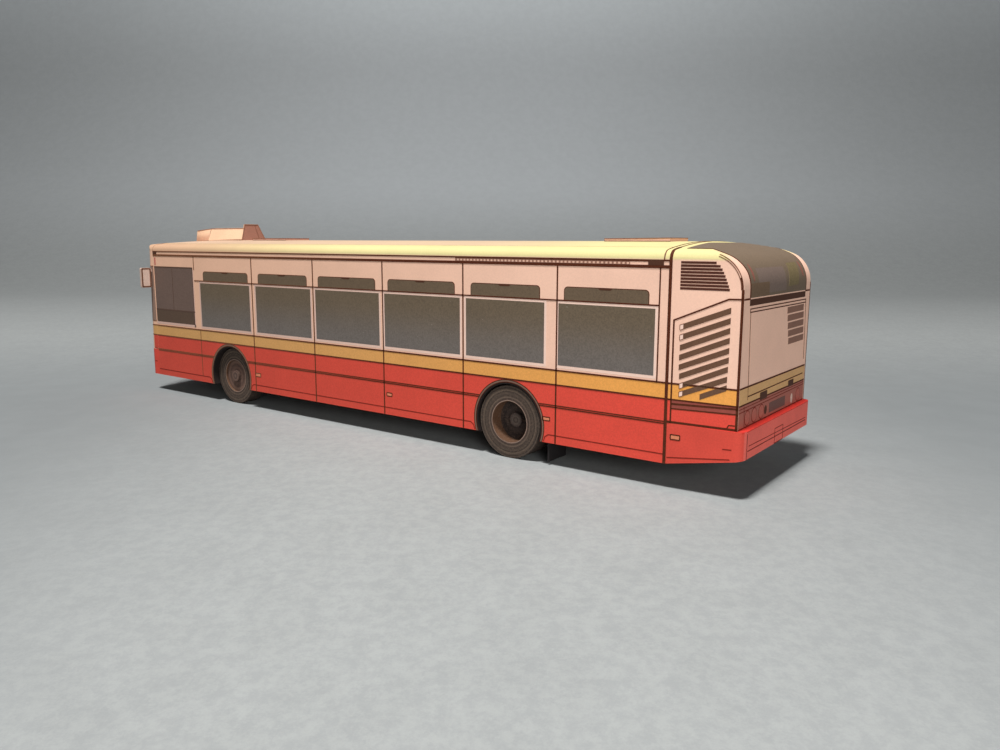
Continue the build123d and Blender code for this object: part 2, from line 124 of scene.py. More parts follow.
# ---- colours
def linear(red, green, blue):
    """A screen colour, 0 to 255 for each part, as the linear colour a shader takes."""
    out = []
    for part in (red, green, blue):
        part /= 255
        out.append(part / 12.92 if part <= 0.04045 else ((part + 0.055) / 1.055) ** 2.4)
    return (*out, 1.0)


def grey(share):
    """A grey to multiply a colour by."""
    return (share, share, share, 1.0)


class Nodes:
    """Short calls that build one material's node tree."""

    def __init__(self, name, roughness, specular):
        self.material = bpy.data.materials.new(name)
        self.material.use_nodes = True
        self.tree = self.material.node_tree
        self.shader = self.tree.nodes["Principled BSDF"]
        self.link(roughness, self.shader.inputs["Roughness"])
        self.link(specular, self.shader.inputs["Specular IOR Level"])
        self.place = self.add("TexCoord").outputs["Object"]

    def add(self, kind, **settings):
        node = self.tree.nodes.new("ShaderNode" + kind)
        for key, value in settings.items():
            setattr(node, key, value)
        return node

    def link(self, source, target):
        """Feeds a socket from another, or sets it."""
        if isinstance(source, (int, float, tuple)):
            target.default_value = source
        else:
            self.tree.links.new(source, target)

    def maths(self, operation, first, second=0.0):
        node = self.add("Math", operation=operation)
        self.link(first, node.inputs[0])
        self.link(second, node.inputs[1])
        return node.outputs[0]

    def times(self, first, second):
        return self.maths("MULTIPLY", first, second)

    def ramp(self, value, low, high):
        """0 where the value is low or less, 1 where it is high or more, smooth between them."""
        node = self.add("MapRange", interpolation_type="SMOOTHSTEP")
        self.link(value, node.inputs["Value"])
        self.link(low, node.inputs["From Min"])
        self.link(high, node.inputs["From Max"])
        return node.outputs["Result"]

    def mix(self, factor, first, second, blend="MIX"):
        node = self.add("Mix", data_type="RGBA", blend_type=blend)
        self.link(factor, node.inputs[0])
        self.link(first, node.inputs[6])
        self.link(second, node.inputs[7])
        return node.outputs[2]

    def speckle(self, size, detail, rough=0.6, stretch=(1, 1, 1), shift=0.0):
        """Noise whose blotches are about this many millimetres across."""
        mapping = self.add("Mapping")
        self.link(self.place, mapping.inputs["Vector"])
        self.link(stretch, mapping.inputs["Scale"])
        self.link((shift, shift * 0.7, shift * 1.3), mapping.inputs["Location"])
        node = self.add("TexNoise")
        self.link(mapping.outputs[0], node.inputs["Vector"])
        self.link(1 / (size * MM), node.inputs["Scale"])
        self.link(detail, node.inputs["Detail"])
        self.link(rough, node.inputs["Roughness"])
        return node.outputs["Fac"]

    def part(self, vector, axis):
        split = self.add("SeparateXYZ")
        self.link(vector, split.inputs[0])
        return split.outputs[axis]

    def along(self, axis):
        """The place along an axis, in metres, as it is on the model at rest."""
        return self.part(self.place, axis)

    def facing(self, axis):
        """How far the surface faces along an axis, from -1 to 1."""
        return self.part(self.add("NewGeometry").outputs["Normal"], axis)

    def finish(self, colour, height, bump=0.25):
        """Takes the colour, and the pattern that makes the surface rough to the touch."""
        node = self.add("Bump")
        self.link(bump, node.inputs["Strength"])
        self.link(GRAIN_DEPTH * MM, node.inputs["Distance"])
        self.link(height, node.inputs["Height"])
        self.link(node.outputs[0], self.shader.inputs["Normal"])
        self.link(colour, self.shader.inputs["Base Color"])
        return self.material


def grained(nodes, colour, grain, tone):
    """Paper grain and slow changes of tone laid over a colour; returns it with the grain."""
    fine = nodes.speckle(0.22, detail=3.0, rough=0.7)
    slow = nodes.speckle(7.0, detail=2.0, shift=0.3)
    dark = nodes.mix(1.0, colour, grey(1 - grain), blend="MULTIPLY")
    light = nodes.mix(1.0, colour, grey(1 + grain), blend="MULTIPLY")
    mixed = nodes.mix(nodes.ramp(fine, 0.30, 0.70), dark, light)
    shade = nodes.mix(nodes.ramp(slow, 0.30, 0.70), grey(1 - tone), grey(1))
    return nodes.mix(1.0, mixed, shade, blend="MULTIPLY"), fine


def ink(name, colour, end_colour=None, axis=X, start=0.0, end=1.0, grain=0.12, tone=0.05,
        specular=0.3, flecks=0.0):
    """Printed ink. It may turn from one colour to another along an axis, which on some inks is painted
    shade, and show pale flecks.
    """
    nodes = Nodes(name, 0.62, specular)
    base = linear(*colour)
    if end_colour is not None:
        step = nodes.ramp(nodes.along(axis), start * MM, end * MM)
        base = nodes.mix(step, base, linear(*end_colour))
    base, fine = grained(nodes, base, grain, tone)
    if flecks:
        spots = nodes.ramp(nodes.speckle(0.30, detail=1.0, shift=2.0), 0.79, 0.84)
        base = nodes.mix(nodes.times(spots, flecks), base, linear(*PALE_FIBRE))
    return nodes.finish(base, fine)


def paper(name, side, top, crown_painted_shade, front_side_painted_shade, front_top_painted_shade):
    """White card with light painted into its colour: rosy where it stands upright, creamy on the roof
    as a painted highlight, paler between its folds where less of that highlight is painted, and darker
    towards the front as painted shade.
    """
    nodes = Nodes(name, 0.78, 0.2)
    along = nodes.along(X)
    # painted shade: the upright and roof colours darken from FADE_X towards the front
    upright = nodes.mix(nodes.ramp(along, FADE_X * MM, -66 * MM), linear(*front_side_painted_shade), linear(*side))
    flat = nodes.mix(nodes.ramp(along, FADE_X * MM, -10 * MM), linear(*front_top_painted_shade), linear(*top))
    across = nodes.maths("ABSOLUTE", nodes.along(Y))
    between = nodes.ramp(across, (FOLD_Y + 0.13) * MM, (FOLD_Y - 0.12) * MM)
    # painted shade: the crown between the folds gets less of the highlight, turning back to it towards
    # the rear
    middle = nodes.mix(nodes.ramp(along, -20 * MM, -52 * MM), linear(*crown_painted_shade), linear(*top))
    flat = nodes.mix(nodes.times(between, 0.85), flat, middle)
    # painted highlight: faces turned up, and all card above the roof edge, take the creamy roof colour
    roof_highlight_share = nodes.maths("MAXIMUM", nodes.ramp(nodes.facing(Z), 0.04, 0.40),
                          nodes.ramp(nodes.along(Z), 30.70 * MM, 31.15 * MM))
    is_tail = nodes.ramp(nodes.facing(X), -0.20, -0.62)
    roof_highlight_share = nodes.times(roof_highlight_share, nodes.maths("SUBTRACT", 1.0, is_tail))
    colour, fine = grained(nodes, nodes.mix(roof_highlight_share, upright, flat), 0.035, 0.05)
    fibres = nodes.speckle(1.2, detail=4.0, rough=0.7, stretch=(0.25, 1, 1), shift=5.0)
    height = nodes.maths("ADD", fine, nodes.times(fibres, 0.7))
    return nodes.finish(colour, height, bump=0.35)


def card_with_painted_facing_light(name, side, top, front, rear, turned=(-0.30, -0.60)):
    """Card with light and shade painted into its colour: a different tone on each way it faces, lit or
    shaded as the lamps would do; turned is where the rear tone comes in.
    """
    nodes = Nodes(name, 0.78, 0.2)
    colour = nodes.mix(nodes.ramp(nodes.facing(Z), 0.45, 0.80), linear(*side), linear(*top))
    colour = nodes.mix(nodes.ramp(nodes.facing(X), 0.05, 0.12), colour, linear(*front))
    colour = nodes.mix(nodes.ramp(nodes.facing(X), *turned), colour, linear(*rear))
    colour, fine = grained(nodes, colour, 0.06, 0.10)
    return nodes.finish(colour, fine, bump=0.35)


def worn_card(name, colour, worn, wear):
    """Coloured card whose colour is rubbed paler in patches."""
    nodes = Nodes(name, 0.75, 0.2)
    rub = nodes.ramp(nodes.speckle(1.6, detail=5.0, rough=0.75, shift=1.0), 0.50, 0.78)
    base = nodes.mix(nodes.times(rub, wear), linear(*colour), linear(*worn))
    base, fine = grained(nodes, base, 0.10, 0.15)
    return nodes.finish(base, fine, bump=0.4)


def round_print(name, centre_x, stops):
    """Rings printed about an axle: (radius, colour) pairs, with mottled toner over them."""
    nodes = Nodes(name, 0.8, 0.2)
    wobble = nodes.maths("SUBTRACT", nodes.speckle(0.9, 3.0), 0.5)
    off_x = nodes.maths("SUBTRACT", nodes.along(X), centre_x * MM)
    off_z = nodes.maths("SUBTRACT", nodes.along(Z), AXLE_Z * MM)
    square = nodes.maths("ADD", nodes.times(off_x, off_x), nodes.times(off_z, off_z))
    radius = nodes.maths("ADD", nodes.maths("SQRT", square), nodes.times(wobble, 0.12 * MM))
    ramp = nodes.add("ValToRGB")
    nodes.link(nodes.maths("DIVIDE", radius, RINGS_END * MM), ramp.inputs[0])
    while len(ramp.color_ramp.elements) < len(stops):
        ramp.color_ramp.elements.new(1.0)
    for element, (at, colour) in zip(ramp.color_ramp.elements, stops):
        element.position = at / RINGS_END
        element.color = linear(*colour)
    mottle = nodes.ramp(nodes.speckle(0.34, detail=4.0, rough=0.8, shift=3.0), 0.46, 0.66)
    colour = nodes.mix(nodes.times(mottle, 0.35), ramp.outputs[0], linear(*PALE_TONER))
    colour, fine = grained(nodes, colour, 0.14, 0.12)
    return nodes.finish(colour, fine, bump=0.5)


LINES = ink("line_ink", (122, 80, 56), (86, 44, 28), X, FADE_X, -16, grain=0.20, specular=0.08)
BROWN = ink("thin_line_ink", (126, 84, 64), grain=0.20, specular=0.1)
SOFT_BROWN = ink("soft_line_ink", (176, 134, 108), grain=0.15, specular=0.1)
RED_LINES = ink("dark_red_line_ink", (124, 40, 30), grain=0.15, specular=0.1)
FAINT = ink("fold_line_ink", (206, 186, 140), grain=0.10)
# painted shade: the pale window borders darken towards the front
FRAME_WHITE = ink("window_border", (214, 176, 160), (250, 214, 196), X, FADE_X, -62, grain=0.03)
GLASS = ink("window_ink", (111, 103, 97), (107, 92, 74), Z, 15.5, 23.5, grain=0.16, flecks=0.35)
TOP_GLASS = ink("top_light_ink", (107, 89, 70), grain=0.14)
CAB_GLASS = ink("cab_window_ink", (111, 90, 80))
CAB_LOW = ink("cab_lower_pane_ink", (92, 72, 58), grain=0.10)
# painted shade: the yellow, and the red below it, darken towards the front
YELLOW = ink("yellow_ink", (208, 157, 97), (247, 168, 78), X, 50, -95, grain=0.08)
RED = ink("red_ink", (207, 75, 58), (230, 77, 61), X, FADE_X, -100, grain=0.08, tone=0.06)
STRIP_RED = ink("strip_ink", (150, 74, 62), grain=0.10)
REAR_RED = ink("rear_red_ink", (174, 104, 88), grain=0.08)
REAR_YELLOW = ink("rear_yellow_ink", (222, 174, 118), grain=0.08)
# a painted highlight: the bright red of the lit edge along the apron's top
LIP_PAINTED_HIGHLIGHT = ink("painted_highlight_red_edge_ink", (214, 54, 42), grain=0.08)
GUTTER_TAN = ink("gutter_band_ink", (156, 112, 94), grain=0.16)
GUTTER_DASH = ink("gutter_dash_ink", (226, 182, 158))
LOUVRE = ink("louvre_ink", (108, 78, 60), specular=0.15)
REAR_LOUVRE = ink("rear_louvre_ink", (144, 104, 86))
GRILLE = ink("grille_ink", (84, 48, 38), grain=0.15, specular=0.1)
ORANGE = ink("marker_ink", (222, 134, 98), grain=0.10)
TRIM = ink("arch_trim_ink", (124, 98, 84), grain=0.14)
BLACK = ink("black_ink", (84, 52, 38), specular=0.15)
REAR_GLASS = ink("rear_window_ink", (116, 98, 80), (122, 103, 84), Z, 27.0, 32.4)
REAR_GLASS_DARK = ink("rear_window_lower_ink", (116, 92, 70))
REAR_GLASS_GREY = ink("rear_window_middle_ink", (124, 105, 94))
DISPLAY = ink("blank_display_ink", (122, 106, 74), grain=0.20)
INNER_LAMP = ink("high_lamp_ink", (146, 90, 76))
PLATE = ink("blank_plate_ink", (112, 80, 72))
LAMP = ink("rear_lamp_ink", (184, 104, 88))
CLEAR_LAMP = ink("front_lamp_ink", (206, 196, 184), grain=0.06)
PALE_SPOT = ink("pale_spot_ink", (220, 196, 180))
# partly painted shade: a printed corner pillar in the brown that the turned front corner shows in
# shade
CORNER_SHADE_PRINT = ink("corner_painted_shade_ink", (150, 120, 104), grain=0.10)
CAB_BARS = ink("cab_bar_ink", (92, 68, 56))
CORNER_LAMP = ink("corner_lamp_ink", (196, 120, 104), grain=0.10)
UNIT_EDGE = ink("unit_edge_ink", (156, 112, 88), grain=0.15)


def dress(names, material):
    """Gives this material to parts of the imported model."""
    for name in names:
        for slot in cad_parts[name].material_slots:
            slot.material = material


# the card's colours hold painted light: a creamy highlight on the roof, a less lit crown, and shade
# towards the front
dress(SHELL, paper("white_card_painted_light", (251, 204, 179), (226, 212, 151), (211, 178, 151),
                   (234, 186, 156), (206, 165, 133)))
# painted light: the red card takes its own colour on each face, paler on the rear and darker to the
# front than the lamps alone make it
dress(("front_apron", "rear_apron"),
      card_with_painted_facing_light("red_card_painted_light", (219, 79, 64), (214, 56, 46), (206, 74, 60), (244, 114, 100),
                  turned=(-0.86, -0.98)))
# painted shade: the roof unit is darker on its top and front, and darkest on its rear end panel
dress(("roof_unit",),
      card_with_painted_facing_light("roof_unit_card_painted_light", (250, 206, 170), (214, 172, 140), (215, 165, 134),
                  (168, 118, 100)))
# painted shade: the flaps are darker on their tops and fronts
dress(("roof_flap_front", "roof_flap_rear"),
      card_with_painted_facing_light("roof_flap_card_painted_light", (232, 186, 168), (212, 166, 142), (206, 158, 136),
                  (226, 176, 158)))
dress(("floor_card", "front_axle_carrier", "rear_axle_carrier"),
      worn_card("underside_card", (74, 62, 56), (120, 104, 92), wear=0.35))
dress(("mudflap_left", "mudflap_right"),
      worn_card("mudflap_card", (38, 34, 34), (54, 48, 46), wear=0.30))
dress(("front_arch_lining_left", "front_arch_lining_right", "rear_arch_lining_left",
       "rear_arch_lining_right"), worn_card("arch_lining_card", (38, 30, 28), (64, 52, 46), wear=0.30))
dress(("mirror_left", "mirror_right"),
      worn_card("mirror_card", (206, 176, 160), (226, 200, 184), wear=0.3))
dress(("front_axle_rod", "rear_axle_rod"),
      worn_card("axle_stick", (168, 138, 104), (196, 168, 132), wear=0.5))

TYRE_RINGS = (
    (3.20, (102, 70, 48)), (3.27, (100, 72, 54)), (3.32, (176, 152, 138)), (3.40, (84, 66, 57)),
    (3.62, (60, 50, 45)), (3.85, (104, 88, 76)), (4.05, (66, 55, 49)), (4.55, (80, 68, 59)),
    (4.72, (52, 43, 39)), (4.90, (98, 84, 72)), (5.15, (74, 62, 54)), (5.35, (54, 46, 41)),
    (5.55, (86, 74, 65)), (5.70, (60, 50, 45)))
REAR_DISC_RINGS = (
    (0.00, (110, 96, 88)), (0.42, (70, 59, 54)), (0.57, (100, 88, 81)), (1.04, (78, 66, 61)),
    (1.18, (52, 43, 41)), (1.90, (68, 57, 52)), (2.45, (50, 42, 40)), (3.25, (62, 52, 47)))
FRONT_DISC_RINGS = (
    (0.00, (122, 98, 88)), (0.57, (76, 60, 54)), (0.85, (118, 92, 81)), (1.22, (76, 58, 51)),
    (1.60, (108, 82, 72)), (2.26, (86, 66, 58)), (2.73, (120, 92, 80)), (3.25, (80, 62, 54)))
for axle, centre_x, disc_rings in (
        ("front", FRONT_AXLE, FRONT_DISC_RINGS), ("rear", REAR_AXLE, REAR_DISC_RINGS)):
    dress((f"{axle}_tyre_left", f"{axle}_tyre_right"),
          round_print(f"{axle}_tyre_print", centre_x, TYRE_RINGS))
    dress((f"{axle}_wheel_disc_left", f"{axle}_wheel_disc_right"),
          round_print(f"{axle}_disc_print", centre_x, disc_rings))


# ---- printed sheets
class FlatSheet:
    """A flat face of the model. Shapes on it are drawn as seen from the left or the rear."""
    cell = None

    def __init__(self, origin, across, out, up=(0, 0, 1)):
        self.origin, self.across = Vector(origin), Vector(across)
        self.up, self.out = Vector(up), Vector(out)

    def point(self, u, v, lift):
        return self.origin + self.across * u + self.up * (v + SHEET_FOOT) + self.out * lift


class DrapedSheet:
    """A face that curves. Each point of a shape is dropped onto the card along a sight line.

    cell is the largest size of the small faces that a shape is cut into, so that it can bend.
    """

    def __init__(self, nodes, sight, cell):
        self.sight, self.cell = sight, cell
        shell = bmesh.new()
        for name in nodes:
            shell.from_mesh(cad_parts[name].data)
        for vertex in shell.verts:
            vertex.co /= MM
        self.tree = BVHTree.FromBMesh(shell)
        shell.free()

    def point(self, u, v, lift):
        start, way = self.sight(u, v)
        hit, normal, _, _ = self.tree.ray_cast(start, way.normalized())
        if hit is None:
            hit, normal, _, _ = self.tree.find_nearest(start)
        if normal.dot(way) > 0:
            normal = -normal
        return hit + normal * lift


# How far outside the card sight lines start, and the lines inside the bus that they aim at.
OUTSIDE = 40.0
BEHIND = 6.0  # at the rear end
HOOP_MIDDLE_Z = 22.0
NOSE_MIDDLE_X = 56.0
TAIL_MIDDLE_X = -55.0


def rear_profile(height):
    """Point and outward direction on the rear end's side outline, by height along the card."""
    if height <= REAR_CURVE_Z:
        return Vector((REAR_FACE, 0, height)), Vector((-1, 0, 0))
    turn = (height - REAR_CURVE_Z) / REAR_CURVE_R
    limit = radians(REAR_CURVE_TURN)
    centre = Vector((REAR_FACE + REAR_CURVE_R, 0, REAR_CURVE_Z))
    if turn <= limit:
        out = Vector((-cos(turn), 0, sin(turn)))
        return centre + out * REAR_CURVE_R, out
    out = Vector((-cos(limit), 0, sin(limit)))
    run = height - REAR_CURVE_Z - limit * REAR_CURVE_R
    return centre + out * REAR_CURVE_R + Vector((-out.z, 0, out.x)) * -run, out


def rear_sight(u, v):
    point, out = rear_profile(v)
    return point + out * BEHIND + Vector((0, u, SHEET_FOOT)), -out


def heading(turn):
    """The way a bearing in degrees points."""
    return cos(radians(turn)), sin(radians(turn))


def hoop_sight(u, v):
    """v is a bearing in degrees about a line along the bus: 0 is the left, 90 is straight up."""
    way = Vector((0, *heading(v)))
    return Vector((u, 0, HOOP_MIDDLE_Z)) + way * OUTSIDE, -way


def roof_sight(u, v):
    return Vector((u, v, ROOF_TOP + OUTSIDE)), Vector((0, 0, -1))


def side_sight(way):
    """Sight lines that look straight at one side of the bus: 1 is the left, -1 the right."""
    def sight(u, v):
        return Vector((u, way * OUTSIDE, v + SHEET_FOOT)), Vector((0, -way, 0))
    return sight


def round_sight(middle_x):
    """Sight lines at an upright line. u is a bearing in degrees: 0 is ahead, 90 is the left."""
    def sight(u, v):
        way = Vector((*heading(u), 0))
        return Vector((middle_x, 0, v + SHEET_FOOT)) + way * OUTSIDE, -way
    return sight


def upright_sheets(closing):
    """Both sides of the bus. Going rearwards from the rear seam they close in at this slope."""
    return {side: FlatSheet((0, way * (HALF_W - closing * REAR_SEAM), 0), (1, way * closing, 0),
                            (0, way, 0)) for side, way in WAYS}


SIDES = upright_sheets(0.0)
QUARTERS = upright_sheets((HALF_W - REAR_HALF_W) / (REAR_SEAM - REAR_FACE))
APRON_SIDES = upright_sheets(0.10 / (REAR_SEAM - REAR_APRON))
REAR = DrapedSheet(("rear_cap",), rear_sight, (1.5, 0.4))
CREASES = {
    side: DrapedSheet((f"rear_quarter_{side}", "rear_cap"), side_sight(way), (0.5, 0.5))
    for side, way in WAYS}
APRON_TAIL = DrapedSheet(("rear_apron",), round_sight(TAIL_MIDDLE_X), (2.0, 1.0))
HOOP = DrapedSheet(SHELL, hoop_sight, (2.0, 2.0))
ROOF = DrapedSheet(SHELL, roof_sight, (6.0, 0.6))
NOSE = DrapedSheet(("front_card",), round_sight(NOSE_MIDDLE_X), (2.0, 0.8))
APRON_FRONT = DrapedSheet(("front_apron",), round_sight(NOSE_MIDDLE_X), (2.0, 0.8))
APRON_REAR = FlatSheet((REAR_APRON, 0, 0), (0, 1, 0), (-1, 0, 0))


def cut(corners, axis, at, keep_above):
    """The part of a flat outline on one side of a line."""
    kept = []
    for here, there in zip(corners, corners[1:] + corners[:1]):
        here_in = (here[axis] >= at) == keep_above or here[axis] == at
        there_in = (there[axis] >= at) == keep_above or there[axis] == at
        if here_in:
            kept.append(here)
        if here_in != there_in and here[axis] != at and there[axis] != at:
            share = (at - here[axis]) / (there[axis] - here[axis])
            crossing = [here[k] + (there[k] - here[k]) * share for k in (0, 1)]
            crossing[axis] = at
            kept.append(tuple(crossing))
    return kept if len(kept) > 2 else []


def strips(corners, axis, size):
    """A flat outline cut into strips no wider than size."""
    low = min(c[axis] for c in corners)
    high = max(c[axis] for c in corners)
    step = floor(low / size) + 1
    pieces = []
    while step * size < high - 1e-6:
        part = cut(corners, axis, step * size, False)
        if part:
            pieces.append(part)
        corners = cut(corners, axis, step * size, True)
        step += 1
    if corners:
        pieces.append(corners)
    return pieces


def cells(outline, cell):
    """An outline as small convex outlines, so that it can bend with the card."""
    flat = [Vector((u, v, 0)) for u, v in outline]
    found = []
    for triangle in tessellate_polygon([flat]):
        corners = [tuple(outline[i]) for i in triangle]
        for strip in strips(corners, 0, cell[0]):
            found.extend(strips(strip, 1, cell[1]))
    return found


def make_piece(name, mesh, material, curved):
    """Turns a mesh into an object that rides on the bus body."""
    bmesh.ops.recalc_face_normals(mesh, faces=mesh.faces)
    data = bpy.data.meshes.new(name)
    mesh.to_mesh(data)
    mesh.free()
    if curved:
        for polygon in data.polygons:
            polygon.use_smooth = True
        data.set_sharp_from_angle(angle=radians(40))
    data.materials.append(material)
    piece = put(name, data)
    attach(piece, BODY)
    return piece


def lay(name, sheet, outlines, material, level, depth=0.03):
    """Lays printed shapes on a sheet as thin closed slabs; one object holds them all."""
    mesh = bmesh.new()
    for outline in outlines:
        island = bmesh.new()
        parts = [outline] if sheet.cell is None else cells(outline, sheet.cell)
        for part in parts:
            ring = [island.verts.new((u, v, 0)) for u, v in part]
            if len(ring) > 2:
                island.faces.new(ring)
        bmesh.ops.remove_doubles(island, verts=island.verts, dist=1e-4)
        bmesh.ops.dissolve_degenerate(island, edges=island.edges, dist=1e-5)
        lower = {v: mesh.verts.new(sheet.point(v.co.x, v.co.y, -depth) * MM) for v in island.verts}
        upper = {v: mesh.verts.new(sheet.point(v.co.x, v.co.y, level) * MM) for v in island.verts}
        for face in island.faces:
            mesh.faces.new([upper[v] for v in face.verts])
            mesh.faces.new([lower[v] for v in reversed(face.verts)])
        for edge in island.edges:
            if len(edge.link_faces) == 1:
                a, b = edge.verts
                mesh.faces.new((upper[b], upper[a], lower[a], lower[b]))
        island.free()
    return make_piece(name, mesh, material, sheet.cell is not None)


def edging(name, runs, width, material):
    """Thin bars of ink along folded edges. Each run is a list of points in space."""
    mesh = bmesh.new()
    for run in runs:
        for start, end in zip(run, run[1:]):
            start, end = Vector(start), Vector(end)
            way = (end - start).normalized()
            first = way.orthogonal().normalized()
            second = way.cross(first)
            ends = []
            for middle in (start - way * width / 3, end + way * width / 3):
                ends.append([])
                for turn in (k * tau / 6 for k in range(6)):
                    off = first * cos(turn) + second * sin(turn)
                    ends[-1].append(mesh.verts.new((middle + off * width / 2) * MM))
            low, high = ends
            mesh.faces.new(low[::-1])
            mesh.faces.new(high)
            for k in range(6):
                mesh.faces.new((low[k], low[(k + 1) % 6], high[(k + 1) % 6], high[k]))
    return make_piece(name, mesh, material, False)


# ---- printed shapes
def box(x0, z0, x1, z1):
    """The box between any two opposite corners."""
    x0, x1 = sorted((x0, x1))
    z0, z1 = sorted((z0, z1))
    return [(x0, z0), (x1, z0), (x1, z1), (x0, z1)]


def arc(cx, cz, radius, start, end, steps):
    """Points on a circle, between two bearings in degrees."""
    ways = [heading(start + (end - start) * i / steps) for i in range(steps + 1)]
    return [(cx + radius * x, cz + radius * z) for x, z in ways]


def oval(x, z, half_w, half_h, corners=20):
    """An oval with this many corners."""
    ways = [heading(k * 360 / corners) for k in range(corners)]
    return [(x + half_w * a, z + half_h * b) for a, b in ways]


def round_top(x0, z0, x1, z1, radius):
    """A box whose two upper corners are round."""
    x0, x1 = sorted((x0, x1))
    return ([(x0, z0), (x1, z0)] + arc(x1 - radius, z1 - radius, radius, 0, 90, 5)
            + arc(x0 + radius, z1 - radius, radius, 90, 180, 5))


def stroke(points, width):
    """A line of this width through the points, as one outline."""
    left, right = [], []
    for i, (x, z) in enumerate(points):
        before = points[max(i - 1, 0)]
        after = points[min(i + 1, len(points) - 1)]
        ways = []
        for a, b in ((before, (x, z)), ((x, z), after)):
            run = hypot(b[0] - a[0], b[1] - a[1])
            if run:
                ways.append(((b[0] - a[0]) / run, (b[1] - a[1]) / run))
        across = [sum(w[k] for w in ways) / len(ways) for k in (0, 1)]
        size = hypot(*across)
        half = width / 2 / size
        nx, nz = -across[1] / size * half, across[0] / size * half
        left.append((x + nx, z + nz))
        right.append((x - nx, z - nz))
    return left + right[::-1]


def rule(x0, x1, z, width):
    """A level line."""
    return stroke([(x0, z), (x1, z)], width)


def post(x, z0, z1, width):
    """An upright line."""
    return stroke([(x, z0), (x, z1)], width)


def border(outline, width):
    """Strokes along each edge of an outline."""
    return [stroke(edge, width) for edge in zip(outline, outline[1:] + outline[:1])]


def both_sides(runs):
    """Runs of points in space on the left of the bus, and their mirror images on the right."""
    return [[(x, way * y, z) for x, y, z in run] for _, way in WAYS for run in runs]


def arch(cx, radius):
    """The arch over a wheel, from its rear end on the skirt line to its front end."""
    foot = degrees(asin((SKIRT - AXLE_UP) / radius))
    return arc(cx, AXLE_UP, radius, 180 - foot, foot, 40)


def band(cx, inner, outer):
    """The band between two arches over one wheel."""
    return arch(cx, outer)[::-1] + arch(cx, inner)


def skirt_outline():
    """A side between its seams, from its foot up to the belt, with the wheel arches left out."""
    return ([(REAR_SEAM, SKIRT)] + arch(REAR_AXLE, ARCH_R) + arch(FRONT_AXLE, ARCH_R)
            + [(FRONT_SEAM, SKIRT), (FRONT_SEAM, BELT_LOW), (REAR_SEAM, BELT_LOW)])


def beside_arches(z):
    """The runs that the wheel arches leave of a level line from seam to seam."""
    half = sqrt(ARCH_R**2 - (z - AXLE_UP)**2)
    ends = (REAR_SEAM, REAR_AXLE - half, REAR_AXLE + half,
            FRONT_AXLE - half, FRONT_AXLE + half, FRONT_SEAM)
    return zip(ends[::2], ends[1::2])


# ---- both sides
AXLES = (REAR_AXLE, FRONT_AXLE)
SIDE_LINES = ((GUTTER_LINE, 0.42), (ROOF_LINE, 0.22), (BELT_TOP, 0.24), (BELT_LOW, 0.22))
FOOT_TURN = ((0.3, 3.55), (0.5, 4.25), (1.1, 4.66))  # of the foot line: off an arch, height
# The front and rear ends of each bay's window, then of its top-light.
BAYS = ((46.95, 30.55, 45.70, 31.00), (28.55, 12.55, 27.60, 13.52), (11.15, -5.05, 10.26, -4.15),
        (-6.35, -22.90, -7.28, -21.78), (-24.15, -38.85, -25.20, -37.98),
        (-41.30, -56.55, -42.30, -55.50))
WINDOW_LOW, WINDOW_HIGH = 15.25, 24.25
MID_LINE = 24.70  # between the windows and the top-lights
LIGHT_LOW, LIGHT_HIGH = 24.80, 26.60
LATCH = ((-1.15, 0.02), (-0.85, -0.22), (0.85, -0.22), (1.15, 0.02))
POST_TOP = 29.70
GUTTER_X, GUTTER_LOW = -22.0, 29.98
MARKERS = ((29.62, 28.09, 7.06, 6.40), (-6.54, -7.76, 7.24, 6.68), (-38.77, -40.04, 7.28, 6.76))

